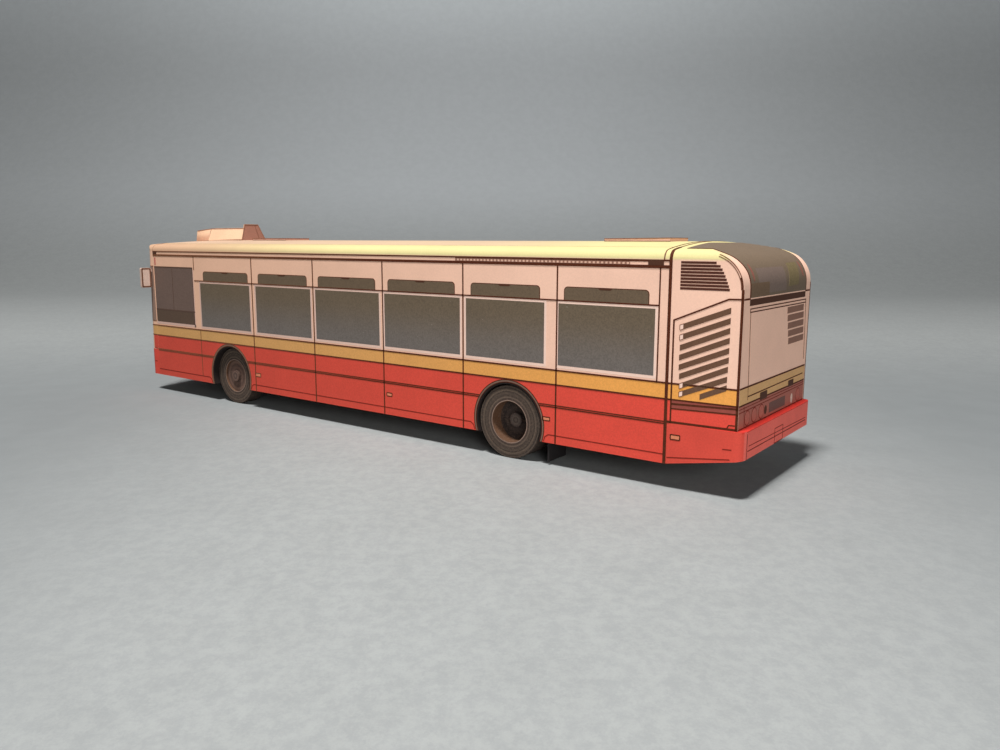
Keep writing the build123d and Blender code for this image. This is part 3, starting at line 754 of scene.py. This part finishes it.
for side, sheet in SIDES.items():
    lay(f"yellow_belt_{side}", sheet, [box(REAR_SEAM, BELT_LOW, FRONT_SEAM, BELT_TOP)],
        YELLOW, ZONE)
    lay(f"red_skirt_{side}", sheet, [skirt_outline()], RED, ZONE)
    lay(f"arch_trims_{side}", sheet, [band(cx, ARCH_TRIM_R, ARCH_R) for cx in AXLES], TRIM, PANE)
    outlines = []
    for cx in AXLES:
        outlines.append(band(cx, ARCH_R - 0.06, ARCH_R + 0.08))
        outlines.append(band(cx, ARCH_TRIM_R - 0.04, ARCH_TRIM_R + 0.08))
    lay(f"arch_outlines_{side}", sheet, outlines, LINES, LINE)

    lines = [rule(REAR_SEAM, FRONT_SEAM, z, width) for z, width in SIDE_LINES]
    for x0, x1 in beside_arches(APRON_TOP):
        lines += [rule(x0, x1, APRON_TOP + off, 0.16) for off in (0.13, -0.15)]
    thin = []
    for x0, x1 in beside_arches(3.50):
        run = [(x0, FOOT_LINE), (x1, FOOT_LINE)]
        if x0 > REAR_SEAM:
            run = [(x0 + off, z) for off, z in FOOT_TURN] + run[1:]
        if x1 < FRONT_SEAM:
            run = run[:-1] + [(x1 - off, z) for off, z in FOOT_TURN[::-1]]
        thin.append(stroke(run, 0.14))
    lines += [post(x, SKIRT + 0.05, MID_LINE + 0.2, 0.23) for x in POSTS]
    lay(f"side_lines_{side}", sheet, lines, LINES, TOP_LINE)
    lay(f"post_lines_{side}", sheet,
        [post(x, MID_LINE + 0.1, GUTTER_LINE, 0.24) for x in POSTS], LINES, LINE)
    lay(f"side_thin_lines_{side}", sheet, thin, RED_LINES, LINE)
    lay(f"rear_seam_line_{side}", sheet, [post(SEAM_X, SKIRT, ROOF_EDGE, SEAM_W)], LINES, OVER_LINE)

    lay(f"gutter_band_{side}", sheet, [box(GUTTER_X, GUTTER_LOW, -52.6, 30.52)], GUTTER_TAN, ZONE)
    dashes = [box(x, 30.06, x - 0.34, 30.33) for x in (-22.4 - 0.66 * i for i in range(46))]
    lay(f"gutter_dashes_{side}", sheet, dashes, GUTTER_DASH, PANE)
    lay(f"gutter_edge_{side}", sheet, [box(GUTTER_X, 30.42, -56.0, 30.58)], BROWN, PANE)
    lay(f"gutter_block_{side}", sheet, [box(-55.3, GUTTER_LOW, -57.55, 30.72)], BLACK, OVER_LINE)

    markers = [box(x0, low, x1, high) for x0, x1, high, low in MARKERS]
    lay(f"side_markers_{side}", sheet, markers, ORANGE, PANE)
    lay(f"side_marker_lines_{side}", sheet,
        [line for marker in markers for line in border(marker, 0.15)], LINES, LINE)


def pane_set(side, sheet, bays):
    """Windows, their pale borders, and the tipping top-lights over them."""
    windows, frames, lights, rims, latches = [], [], [], [], []
    for a, b, x0, x1 in bays:
        windows.append(box(a, WINDOW_LOW, b, WINDOW_HIGH))
        frames.append(box(a + 0.38, WINDOW_LOW - 0.42, b - 0.38, WINDOW_HIGH + 0.34))
        lights.append(round_top(x0, LIGHT_LOW, x1, LIGHT_HIGH, 0.55))
        rims.append(round_top(x0 + 0.11, LIGHT_LOW - 0.05, x1 - 0.11, LIGHT_HIGH + 0.11, 0.62))
        middle = (x0 + x1) / 2
        latches.append([(middle + dx, LIGHT_HIGH + dz) for dx, dz in LATCH])
    lay(f"window_borders_{side}", sheet, frames, FRAME_WHITE, ZONE)
    lay(f"windows_{side}", sheet, windows, GLASS, PANE)
    lay(f"top_light_rims_{side}", sheet, rims, LINES, PANE)
    lay(f"top_lights_{side}", sheet, lights, TOP_GLASS, LINE)
    lay(f"top_light_latches_{side}", sheet, latches, BLACK, TOP_LINE)


# ---- left side only
left = SIDES["left"]
CAB_FRONT, CAB_REAR = 63.90, 49.60  # of the driver's window
pane_set("left", left, BAYS)
lay("mid_line_left", left, [
    rule(CAB_POST, LAST_POST, MID_LINE, 0.20), post(LAST_POST, BELT_TOP, POST_TOP, 0.18),
    post(47.65, 4.7, BELT_TOP, 0.14), post(CAB_POST, 26.9, POST_TOP, 0.16)], LINES, TOP_LINE)
lay("cab_window_border", left, [box(64.10, 14.85, 49.25, 15.40), box(49.62, 14.85, 49.25, 26.90)],
    FRAME_WHITE, ZONE)
lay("cab_window", left, [box(CAB_FRONT, 18.15, CAB_REAR, 27.30)], CAB_GLASS, PANE)
lay("cab_lower_pane", left, [box(CAB_FRONT, 15.35, CAB_REAR, 18.00)], CAB_LOW, PANE)
lay("cab_window_bars", left, [
    box(CAB_FRONT, 17.95, 49.30, 18.20), box(57.00, 18.1, 57.16, 27.0),
    box(CAB_FRONT, 27.15, 49.50, 27.42), box(49.48, 15.35, 49.66, 27.3)], CAB_BARS, LINE)
lay("front_corner_mark", left, [box(64.1, 30.02, 62.7, 30.6)], BLACK, OVER_LINE)
lay("front_corner_lamp", left, [box(63.75, 27.7, 63.2, 29.3)], CORNER_LAMP, LINE)

# ---- right side only
right = SIDES["right"]
DOORS = ((62.60, 49.60), (10.90, -5.10), (-41.90, -56.30))
DOOR_LOW, DOOR_HIGH = 3.75, 28.10
pane_set("right", right, (BAYS[1], BAYS[3], BAYS[4]))
glass, rims, lines, bars = [], [], [], []
for x0, x1 in DOORS:
    middle = (x0 + x1) / 2
    for a, b in ((x0, middle), (middle, x1)):
        glass.append(box(a - 0.75, 6.2, b + 0.75, 27.0))
        rims.append(box(a - 0.35, 4.4, b + 0.35, 27.6))
        bars.append(box(a - 1.0, 14.6, b + 1.0, 14.9))
    lines += border(box(x0, DOOR_LOW, x1, DOOR_HIGH), 0.20)
    lines.append(post(middle, DOOR_LOW, DOOR_HIGH, 0.24))
lay("door_leaves", right, rims, BLACK, LEAF)
lay("door_glass", right, glass, GLASS, ON_LEAF)
lay("door_outlines", right, lines, LINES, ON_LEAF)
lay("door_handrails", right, bars, YELLOW, RAIL)
lay("mid_line_right", right, [
    rule(CAB_POST, 11.75, MID_LINE, 0.20), rule(-5.95, -41.05, MID_LINE, 0.20),
    post(LAST_POST, BELT_TOP, POST_TOP, 0.18), post(CAB_POST, 3.5, POST_TOP, 0.18)],
    LINES, TOP_LINE)
lay("front_bay_window_right", right, [box(46.95, WINDOW_LOW, 30.55, 27.0)], GLASS, PANE)

# ---- rear quarters
GRILLE_X, GRILLE_HIGH, GRILLE_PITCH = -59.92, 30.58, 0.418
LAST_BAR = 8
SECOND_POST = -59.25
LOUVRES = (
    (-60.14, 21.97, -66.75, 24.50), (-60.16, 20.65, -66.75, 23.20), (-60.20, 19.30, -66.75, 21.95),
    (-60.15, 18.00, -66.75, 20.70), (-60.15, 16.70, -66.75, 19.40), (-60.25, 15.50, -66.75, 18.20),
    (-60.35, 14.20, -66.70, 17.00), (-60.35, 13.10, -66.65, 15.70), (-63.15, 13.05, -66.65, 14.60))
WITH_END_CELL = (0, 1, 6, 7)
for side, sheet in QUARTERS.items():
    x0, x1 = REAR_FACE, REAR_SEAM
    lay(f"quarter_yellow_{side}", sheet, [box(x0, BELT_LOW, x1, BELT_TOP)], YELLOW, ZONE)
    lay(f"quarter_red_{side}", sheet, [box(x0, APRON_TOP, x1, BELT_LOW)], RED, ZONE)
    lay(f"quarter_strips_{side}", sheet, [
        [(SECOND_POST, 11.06), (x0, 11.24), (x0, BELT_LOW), (SECOND_POST, BELT_LOW)]],
        STRIP_RED, PANE)
    lay(f"quarter_lines_{side}", sheet, [
        rule(x1, x0, BELT_TOP, 0.24),
        rule(x1, x0, BELT_LOW, 0.22),
        stroke([(SECOND_POST, 11.72), (x0, 11.98)], 0.26),
        stroke([(SECOND_POST, 11.08), (x0, 11.28)], 0.18),
        rule(x1, x0, APRON_TOP + 0.16, 0.32),
        stroke([(SECOND_POST, APRON_TOP), (SECOND_POST, 22.9), (-66.42, 25.9), (x0, 25.94)], 0.22),
        stroke([(-66.9, 9.3), (-67.15, 9.78), (x0 + 0.3, 9.80)], 0.14),
        post(x0 + 0.13, APRON_TOP, REAR_CURVE_Z, 0.28)], LINES, LINE)
    centre = REAR_FACE + REAR_CURVE_R, REAR_CURVE_Z
    creases = [stroke(arc(*centre, radius, 180, 106, 24), 0.09) for radius in (4.50, 4.26)]
    lay(f"crease_lines_{side}", CREASES[side], creases, BROWN, LINE)
    lay(f"crease_foot_{side}", CREASES[side], [stroke(arc(*centre, 4.42, 180, 160, 8), 0.26)],
        LINES, LINE)
    bars = []
    for i in range(LAST_BAR + 1):
        z = GRILLE_HIGH - i * GRILLE_PITCH
        end = -64.6 - 1.85 * (i / LAST_BAR) ** 0.6
        bars.append(box(GRILLE_X, z - 0.31, end, z))
    lay(f"upper_grille_{side}", sheet, bars, GRILLE, PANE)
    slats, end_cells, cell_rims = [], [], []
    for index, (ax, az, bx, bz) in enumerate(LOUVRES):
        slats.append([(ax, az - 0.38), (bx, bz - 0.38), (bx, bz + 0.38), (ax, az + 0.38)])
        if index in WITH_END_CELL:
            rise = (bz - az) / (ax - bx) * 0.50
            cell = [(ax + 0.03, az - 0.34), (ax - 0.47, az - 0.34 + rise),
                    (ax - 0.47, az + 0.34 + rise), (ax + 0.03, az + 0.34)]
            end_cells.append(cell)
            cell_rims += border(cell, 0.09)
    lay(f"louvres_{side}", sheet, slats, LOUVRE, LINE)
    lay(f"louvre_end_cells_{side}", sheet, end_cells, FRAME_WHITE, TOP_LINE)
    lay(f"louvre_end_rims_{side}", sheet, cell_rims, BROWN, OVER_LINE)

# ---- rear end
GLASS_Y = 11.60  # half the window's width
WINDOW_HALF = [(GLASS_Y, 26.02), (GLASS_Y, 29.5), (GLASS_Y + 0.75, 33.5),
               (GLASS_Y + 0.75, 38.0)]
OTHER_HALF = [(-y, z) for y, z in WINDOW_HALF]
ZONE_Y, LINE_Y = 13.85, 13.80  # how far colours and lines reach to each side
REAR_BELT_LOW, REAR_BELT_TOP = 12.3, 14.5
LAMPS_Y, LAMP_Z = (10.45, 7.90, 5.15, -10.90), 10.30
lay("rear_window", REAR, [WINDOW_HALF + OTHER_HALF[::-1]], REAR_GLASS, TOP_LINE)
lay("rear_window_shades", REAR, [box(4.6, 26.1, 11.4, 27.85)], REAR_GLASS_DARK, LEAF)
lay("rear_window_seats", REAR, [box(-2.4, 26.4, 8.6, 29.8)], REAR_GLASS_GREY, SEATS)
lay("rear_blank_display", REAR, [[(-3.4, 26.9), (-4.6, 30.3), (-9.0, 30.4), (-7.8, 27.0)]], DISPLAY,
    ON_LEAF)
lay("rear_high_lamps", REAR, [oval(y, 29.3, 0.28, 1.25) for y in (10.2, -10.2)], INNER_LAMP, ON_LEAF)
lay("rear_window_lines", REAR, [
    stroke(WINDOW_HALF, 0.20), stroke(OTHER_HALF, 0.20),
    rule(-GLASS_Y, -LINE_Y, 25.92, 0.22), rule(GLASS_Y, LINE_Y, 25.90, 0.22)],
    LINES, OVER_LINE)
lay("rear_black_band", REAR, [box(-GLASS_Y, 25.0, GLASS_Y, 25.84)], BLACK, PANE)
lay("rear_yellow", REAR, [box(-ZONE_Y, REAR_BELT_LOW, ZONE_Y, REAR_BELT_TOP)], REAR_YELLOW, ZONE)
lay("rear_red", REAR, [box(-ZONE_Y, APRON_TOP, ZONE_Y, REAR_BELT_LOW)], REAR_RED, ZONE)
lay("rear_lines", REAR, [
    stroke([(-12.1, 24.62), (11.3, 24.60)], 0.14), stroke([(-12.1, 24.16), (11.3, 24.18)], 0.14),
    post(11.3, 24.67, 24.10, 0.10), post(-12.05, 24.67, 24.10, 0.10),
    rule(-LINE_Y, LINE_Y, REAR_BELT_TOP, 0.22), rule(-LINE_Y, LINE_Y, 12.25, 0.20),
    stroke([(-12.6, 13.33), (10.7, 13.16)], 0.15)], LINES, LINE)
lay("rear_panel_lines", REAR, [
    stroke([(11.15, 24.2), (10.7, 14.5), (10.65, 12.7)], 0.10),
    stroke([(-12.1, 24.3), (-12.7, 15.5)], 0.10)], BROWN, LINE)
lay("rear_red_lines", REAR, [
    stroke([(-LINE_Y, 11.55), (LINE_Y, 11.35)], 0.12),
    stroke([(-LINE_Y, 11.90), (LINE_Y, 11.80)], 0.10),
    stroke([(11.8, 12.0), (11.45, 9.3)], 0.14)], RED_LINES, PANE)
lay("rear_hinges", REAR, [box(5.95, 11.95, 3.2, 13.0), box(-5.95, 12.1, -8.3, 13.03)], BLACK,
    TOP_LINE)
bars = []
for i in range(5):
    top = 23.9 - 1.13 * i
    near, far = -3.7 - 0.28 * i, -11.2 - 0.16 * i
    bars.append([(near, top - 0.90), (near, top), (far, top + 0.05), (far, top - 0.85)])
lay("rear_grille", REAR, bars, REAR_LOUVRE, PANE)
lay("rear_lamp_rims", REAR, [oval(y, LAMP_Z, 1.02, 1.02, 24) for y in LAMPS_Y], RED_LINES, PANE)
lay("rear_lamps", REAR, [oval(y, LAMP_Z, 0.90, 0.90, 24) for y in LAMPS_Y], LAMP, LINE)
lay("rear_dark_lamp", REAR, [oval(3.46, 10.27, 0.50, 0.62)], BLACK, LINE)
lay("rear_pale_spot", REAR, [oval(-7.9, 10.14, 0.42, 0.72)], PALE_SPOT, LINE)
lay("rear_plate", REAR, [box(2.0, 9.6, -4.85, 11.0)], PLATE, LINE)
lay("rear_foot_line", REAR, [box(-13.6, APRON_TOP + 0.04, 13.8, APRON_TOP + 0.18)], RED_LINES, LINE)
corner = [(REAR_FACE, REAR_HALF_W, APRON_TOP + 0.2), (REAR_FACE, REAR_HALF_W, 27.2)]
edging("rear_corner_edges", both_sides([corner]), 0.14, LINES)

# ---- rear apron
# painted highlight along the top edge of the rear apron
lay("apron_lip_painted_highlight", APRON_TAIL, [box(135, APRON_TOP - 0.14, 225, APRON_TOP - 0.02)], LIP_PAINTED_HIGHLIGHT, PANE)
lay("apron_lines", APRON_REAR, [
    stroke([(12.1, 7.0), (-12.1, 6.62)], 0.09), stroke([(12.5, 6.36), (-12.1, 6.25)], 0.12),
    post(12.8, 5.3, 8.7, 0.12)] + border(box(1.97, 5.35, -1.52, 7.45), 0.10), RED_LINES, PANE)
for side, sheet in APRON_SIDES.items():
    lay(f"rear_marker_{side}", sheet, [box(-59.44, 6.96, -60.61, 7.48)], ORANGE, PANE)
    lay(f"rear_marker_lines_{side}", sheet, border(box(-59.36, 6.90, -60.69, 7.54), 0.16), LINES,
        LINE)
    lay(f"rear_apron_line_{side}", sheet, [
        stroke([(-58.9, 4.31), (-67.6, 5.36)], 0.13),
        stroke([(-66.6, 6.62), (-67.8, 6.68)], 0.13)], RED_LINES, PANE)

# ---- roof and seams
HOOP_FROM, HOOP_TO = 31, 149  # bearings between which a seam crosses the roof
for name, x, width, colour in (
        ("rear_seam", SEAM_X, 0.22, BROWN), ("rear_hoop_ahead", SEAM_AHEAD, 0.18, BROWN),
        ("front_seam", FRONT_SEAM, 0.14, SOFT_BROWN)):
    lay(name, HOOP, [box(x - width / 2, HOOP_FROM, x + width / 2, HOOP_TO)], colour, TOP_LINE,
        depth=0.10)
lay("rear_seam_corners", HOOP, [
    box(SEAM_X - SEAM_W / 2, start, SEAM_X + SEAM_W / 2, end)
    for start, end in ((HOOP_FROM, HOOP_FROM + 11), (HOOP_TO - 11, HOOP_TO))], LINES, OVER_LINE,
    depth=0.10)
for side, way in WAYS:
    lay(f"roof_fold_{side}", ROOF, [rule(-58.0, 64.0, way * FOLD_Y, 0.14)], FAINT, PANE)

# ---- roof unit and flaps
UNIT_REAR_X, UNIT_NECK_X, UNIT_NOSE_X = 47.65, 59.95, 65.80
UNIT_TOP_Y, UNIT_TOP_Z = 2.20, 35.74
PANEL_TOP = (48.37, 1.72, 36.60)
LEAN = 0.22  # of the end panel
EDGE_Y, FOOT_Y = 3.10, 3.12  # of the unit and the flaps
FLAP_LENGTH, FLAP_RISE = 10.80, 0.35
unit_edges = both_sides([
    [(UNIT_REAR_X + 0.6, UNIT_TOP_Y, UNIT_TOP_Z), (UNIT_NECK_X, UNIT_TOP_Y, UNIT_TOP_Z),
     (UNIT_NOSE_X - 0.5, 2.19, 35.30)],
    [(UNIT_NECK_X, EDGE_Y, 32.90), (UNIT_NECK_X, UNIT_TOP_Y, UNIT_TOP_Z)],
    [(47.63, EDGE_Y, ROOF_TOP), PANEL_TOP]])
unit_edges.append([PANEL_TOP, (PANEL_TOP[0], -PANEL_TOP[1], PANEL_TOP[2])])
edging("roof_unit_edges", unit_edges, 0.18, UNIT_EDGE)
flap_edges = []
for rear_x, rear_lift in ((33.0, 0.0), (-53.0, 0.12)):
    front_x, foot_z = rear_x + FLAP_LENGTH, ROOF_TOP + 0.02
    front_z = ROOF_TOP + FLAP_RISE
    rear_z = front_z + rear_lift
    corners = [(rear_x, EDGE_Y, rear_z), (front_x, EDGE_Y, front_z), (front_x, -EDGE_Y, front_z),
               (rear_x, -EDGE_Y, rear_z)]
    flap_edges.append(corners + corners[:1])
    flap_edges += both_sides([[(rear_x, FOOT_Y, foot_z), (front_x, FOOT_Y, foot_z)]])
edging("roof_flap_edges", flap_edges, 0.12, BROWN)
# painted shadow: a wide dark bar along the foot of the roof unit, where it meets the roof
edging("roof_unit_foot_painted_shadow", both_sides([
    [(UNIT_REAR_X, FOOT_Y, 33.26), (50.0, FOOT_Y, 33.25), (55.0, FOOT_Y, 33.14),
     (UNIT_NECK_X, FOOT_Y, 32.92), (UNIT_NOSE_X, 2.32, 32.46)]]), 0.34, UNIT_EDGE)
end_panel = FlatSheet((UNIT_REAR_X, 0, ROOF_TOP), (0, 1, 0), (-1, 0, LEAN), (LEAN, 0, 1))
lay("roof_unit_panel_lines", end_panel, [stroke([(-1.5, 0.1), (-0.9, 3.0)], 0.10)], BROWN, PANE)

# ---- mirrors
MIRROR_NEAR, MIRROR_FAR = 0.53, 2.38  # of the glass, off the side of the bus
for label, way in WAYS:
    low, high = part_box(f"mirror_{label}")
    face = FlatSheet((low[0] / MM, 0, -SHEET_FOOT), (0, 1, 0), (-1, 0, 0))
    glass = box(way * (HALF_W + MIRROR_NEAR), low[2] / MM + 0.22,
                way * (HALF_W + MIRROR_FAR), high[2] / MM - 0.22)
    mirror_ink = ink(f"mirror_ink_{label}", (238, 206, 188), grain=0.08)
    lay(f"mirror_glass_{label}", face, [glass], mirror_ink, ZONE)
    lay(f"mirror_rim_{label}", face, border(glass, 0.30), BROWN, PANE)

# ---- front end
# Across the front, places are bearings in degrees from straight ahead.
SCREEN_LOW, SCREEN_HIGH, SCREEN_TURN = 15.4, 27.4, 47
lay("nose_yellow", NOSE, [box(-60.3, BELT_LOW, 60.3, BELT_TOP)], YELLOW, ZONE)
lay("nose_red", NOSE, [box(-60.3, APRON_TOP, 60.3, BELT_LOW)], RED, ZONE)
lay("windscreen", NOSE, [box(-SCREEN_TURN, SCREEN_LOW, SCREEN_TURN, SCREEN_HIGH)], GLASS, PANE)
lay("destination_panel", NOSE, [round_top(-40, 28.4, 40, 31.0, 0.5)], BLACK, PANE)
lay("nose_lines", NOSE, [rule(-60, 60, z, width) for z, width in (
    (BELT_TOP, 0.22), (BELT_LOW, 0.20), (SCREEN_LOW, 0.20), (SCREEN_HIGH, 0.20))], LINES, LINE)
lay("screen_post", NOSE, [box(-0.5, SCREEN_LOW, 0.5, SCREEN_HIGH)], BLACK, LINE)
for label, way in WAYS:
    # corner pillars between windscreen and sides, their brown standing in for the shade on the turned
    # corners
    lay(f"corner_post_painted_shade_{label}", NOSE,
        [box(way * SCREEN_TURN, SCREEN_LOW, way * 60, SCREEN_HIGH)], CORNER_SHADE_PRINT, LINE)
    lay(f"wiper_{label}", NOSE, [stroke([(way * 4, 15.9), (way * 34, 16.9)], 0.35)], BLACK, TOP_LINE)
    lay(f"headlamp_{label}", NOSE, [box(way * 30, 9.5, way * 43, 11.7)], CLEAR_LAMP, LINE)
    lay(f"headlamp_rim_{label}", NOSE, [box(way * 29.4, 9.25, way * 43.6, 11.95)], BLACK, PANE)
lay("front_apron_lines", APRON_FRONT, [rule(-58, 58, 6.3, 0.12)], RED_LINES, PANE)
lay("front_plate", APRON_FRONT, [box(-12, 6.6, 12, 8.3)], CLEAR_LAMP, PANE)


# ---- camera
AZIMUTH, ELEVATION, ROLL = (radians(a) for a in (216.7038, 9.3438, 0.1686))
CAMERA_PLACE = Vector((-104.641, 113.390, 33.216))
back = Vector((sin(AZIMUTH) * cos(ELEVATION), -cos(AZIMUTH) * cos(ELEVATION), sin(ELEVATION)))
level = (-back).cross(Vector((0, 0, 1))).normalized()
up = level.cross(-back)
camera_x = level * cos(ROLL) + up * sin(ROLL)
camera_y = up * cos(ROLL) - level * sin(ROLL)
shot = bpy.data.cameras.new("camera")
shot.sensor_width = 36
shot.lens = 29.317
shot.clip_start = 0.001
shot.clip_end = 20
camera = put("camera", shot)
camera.matrix_world = Matrix.Translation(CAMERA_PLACE * MM) @ Matrix(
    (camera_x, camera_y, back)).transposed().to_4x4()
bpy.context.scene.camera = camera


# ---- floor and backdrop, in metres
SHEET_NEAR, SHEET_BEND_FROM, SHEET_BEND, SHEET_HALF = -0.9, 0.35, 0.5, 1.6


def sheet_paper_painted_light():
    """Grey near the model, with painted light on it: paler up the bend and paler still above it, and
    painted shade that makes it darker off the middle and to each side near the model.
    """
    nodes = Nodes("pale_sheet_painted_light", 0.85, 0.15)
    ahead, sideways, height = nodes.along(X), nodes.along(Y), nodes.along(Z)
    # painted shade: less of the paler bend and top colours away from the middle
    middle = nodes.ramp(nodes.maths("ABSOLUTE", sideways), 0.50, 0.05)
    middle = nodes.maths("ADD", nodes.times(middle, 0.5), 0.5)
    bend_painted_light = nodes.times(middle, nodes.ramp(height, 0.0, 0.09))
    top_painted_light = nodes.times(middle, nodes.ramp(height, 0.20, 0.36))
    # painted shade: near the model the floor darkens away from a strip along its middle
    off_middle = nodes.maths("ABSOLUTE", nodes.maths("ADD", sideways, 0.016))
    painted_shade_share = nodes.times(nodes.ramp(off_middle, 0.015, 0.09), nodes.ramp(ahead, 0.15, 0.0))
    blotches = nodes.ramp(nodes.speckle(1.8, detail=4.0, rough=0.8), 0.36, 0.64)
    colour = nodes.mix(blotches, linear(154, 156, 155), linear(162, 164, 162))
    colour = nodes.mix(painted_shade_share, colour, linear(132, 135, 135))
    colour = nodes.mix(bend_painted_light, colour, linear(193, 196, 197))
    colour = nodes.mix(top_painted_light, colour, linear(234, 239, 240))
    colour, fine = grained(nodes, colour, 0.02, 0.04)
    return nodes.finish(colour, fine, bump=0.12)


def sweep_points():
    """A sheet that lies flat under the model and curves up behind it, looking along +X."""
    bend = arc(SHEET_BEND_FROM, SHEET_BEND, SHEET_BEND, -90, 0, 24)
    profile = [(SHEET_NEAR, 0.0)] + bend + [(SHEET_BEND_FROM + SHEET_BEND, SHEET_HALF)]
    points, faces = [], []
    for x, z in profile:
        points += [(x, -SHEET_HALF, z), (x, SHEET_HALF, z)]
    for i in range(0, len(points) - 2, 2):
        faces.append((i, i + 2, i + 3, i + 1))
    return points, faces


sheet = bpy.data.meshes.new("floor_and_backdrop")
points, faces = sweep_points()
sheet.from_pydata(points, [], faces)
sheet.materials.append(sheet_paper_painted_light())
for polygon in sheet.polygons:
    polygon.use_smooth = True
sweep = put("floor_and_backdrop", sheet)
view_way = Vector((-back.x, -back.y, 0)).normalized()
sweep.rotation_euler.z = atan2(view_way.y, view_way.x)


# ---- light
def area_light(name, place, target, size, power):
    """A round white lamp; lengths here are metres."""
    data = bpy.data.lights.new(name, "AREA")
    data.shape = "DISK"
    data.size = size
    data.energy = power
    lamp = put(name, data)
    lamp.location = place
    lamp.visible_camera = False
    way = Vector(target) - Vector(place)
    lamp.rotation_euler = way.to_track_quat("-Z", "Y").to_euler()


def light_room():
    """Faint blue light from all round; the camera sees a grey wall past the sheet's end."""
    world = bpy.data.worlds.new("studio")
    world.use_nodes = True
    tree = world.node_tree
    glow = tree.nodes["Background"]
    glow.inputs["Color"].default_value = (0.62, 0.78, 0.95, 1)
    glow.inputs["Strength"].default_value = 0.045
    wall = tree.nodes.new("ShaderNodeBackground")
    wall.inputs["Color"].default_value = linear(118, 121, 122)
    rays = tree.nodes.new("ShaderNodeLightPath")
    choice = tree.nodes.new("ShaderNodeMixShader")
    tree.links.new(rays.outputs["Is Camera Ray"], choice.inputs[0])
    tree.links.new(glow.outputs[0], choice.inputs[1])
    tree.links.new(wall.outputs[0], choice.inputs[2])
    tree.links.new(choice.outputs[0], tree.nodes["World Output"].inputs["Surface"])
    bpy.context.scene.world = world


area_light("overhead_softbox", (-0.045, 0.24, 0.80), (-0.045, 0, 0), 0.15, 9.1)
area_light("left_fill", (-0.32, 0.26, 0.10), (-0.03, 0.0, 0.02), 0.16, 0.61)
light_room()
bpy.context.scene.view_settings.view_transform = "Standard"
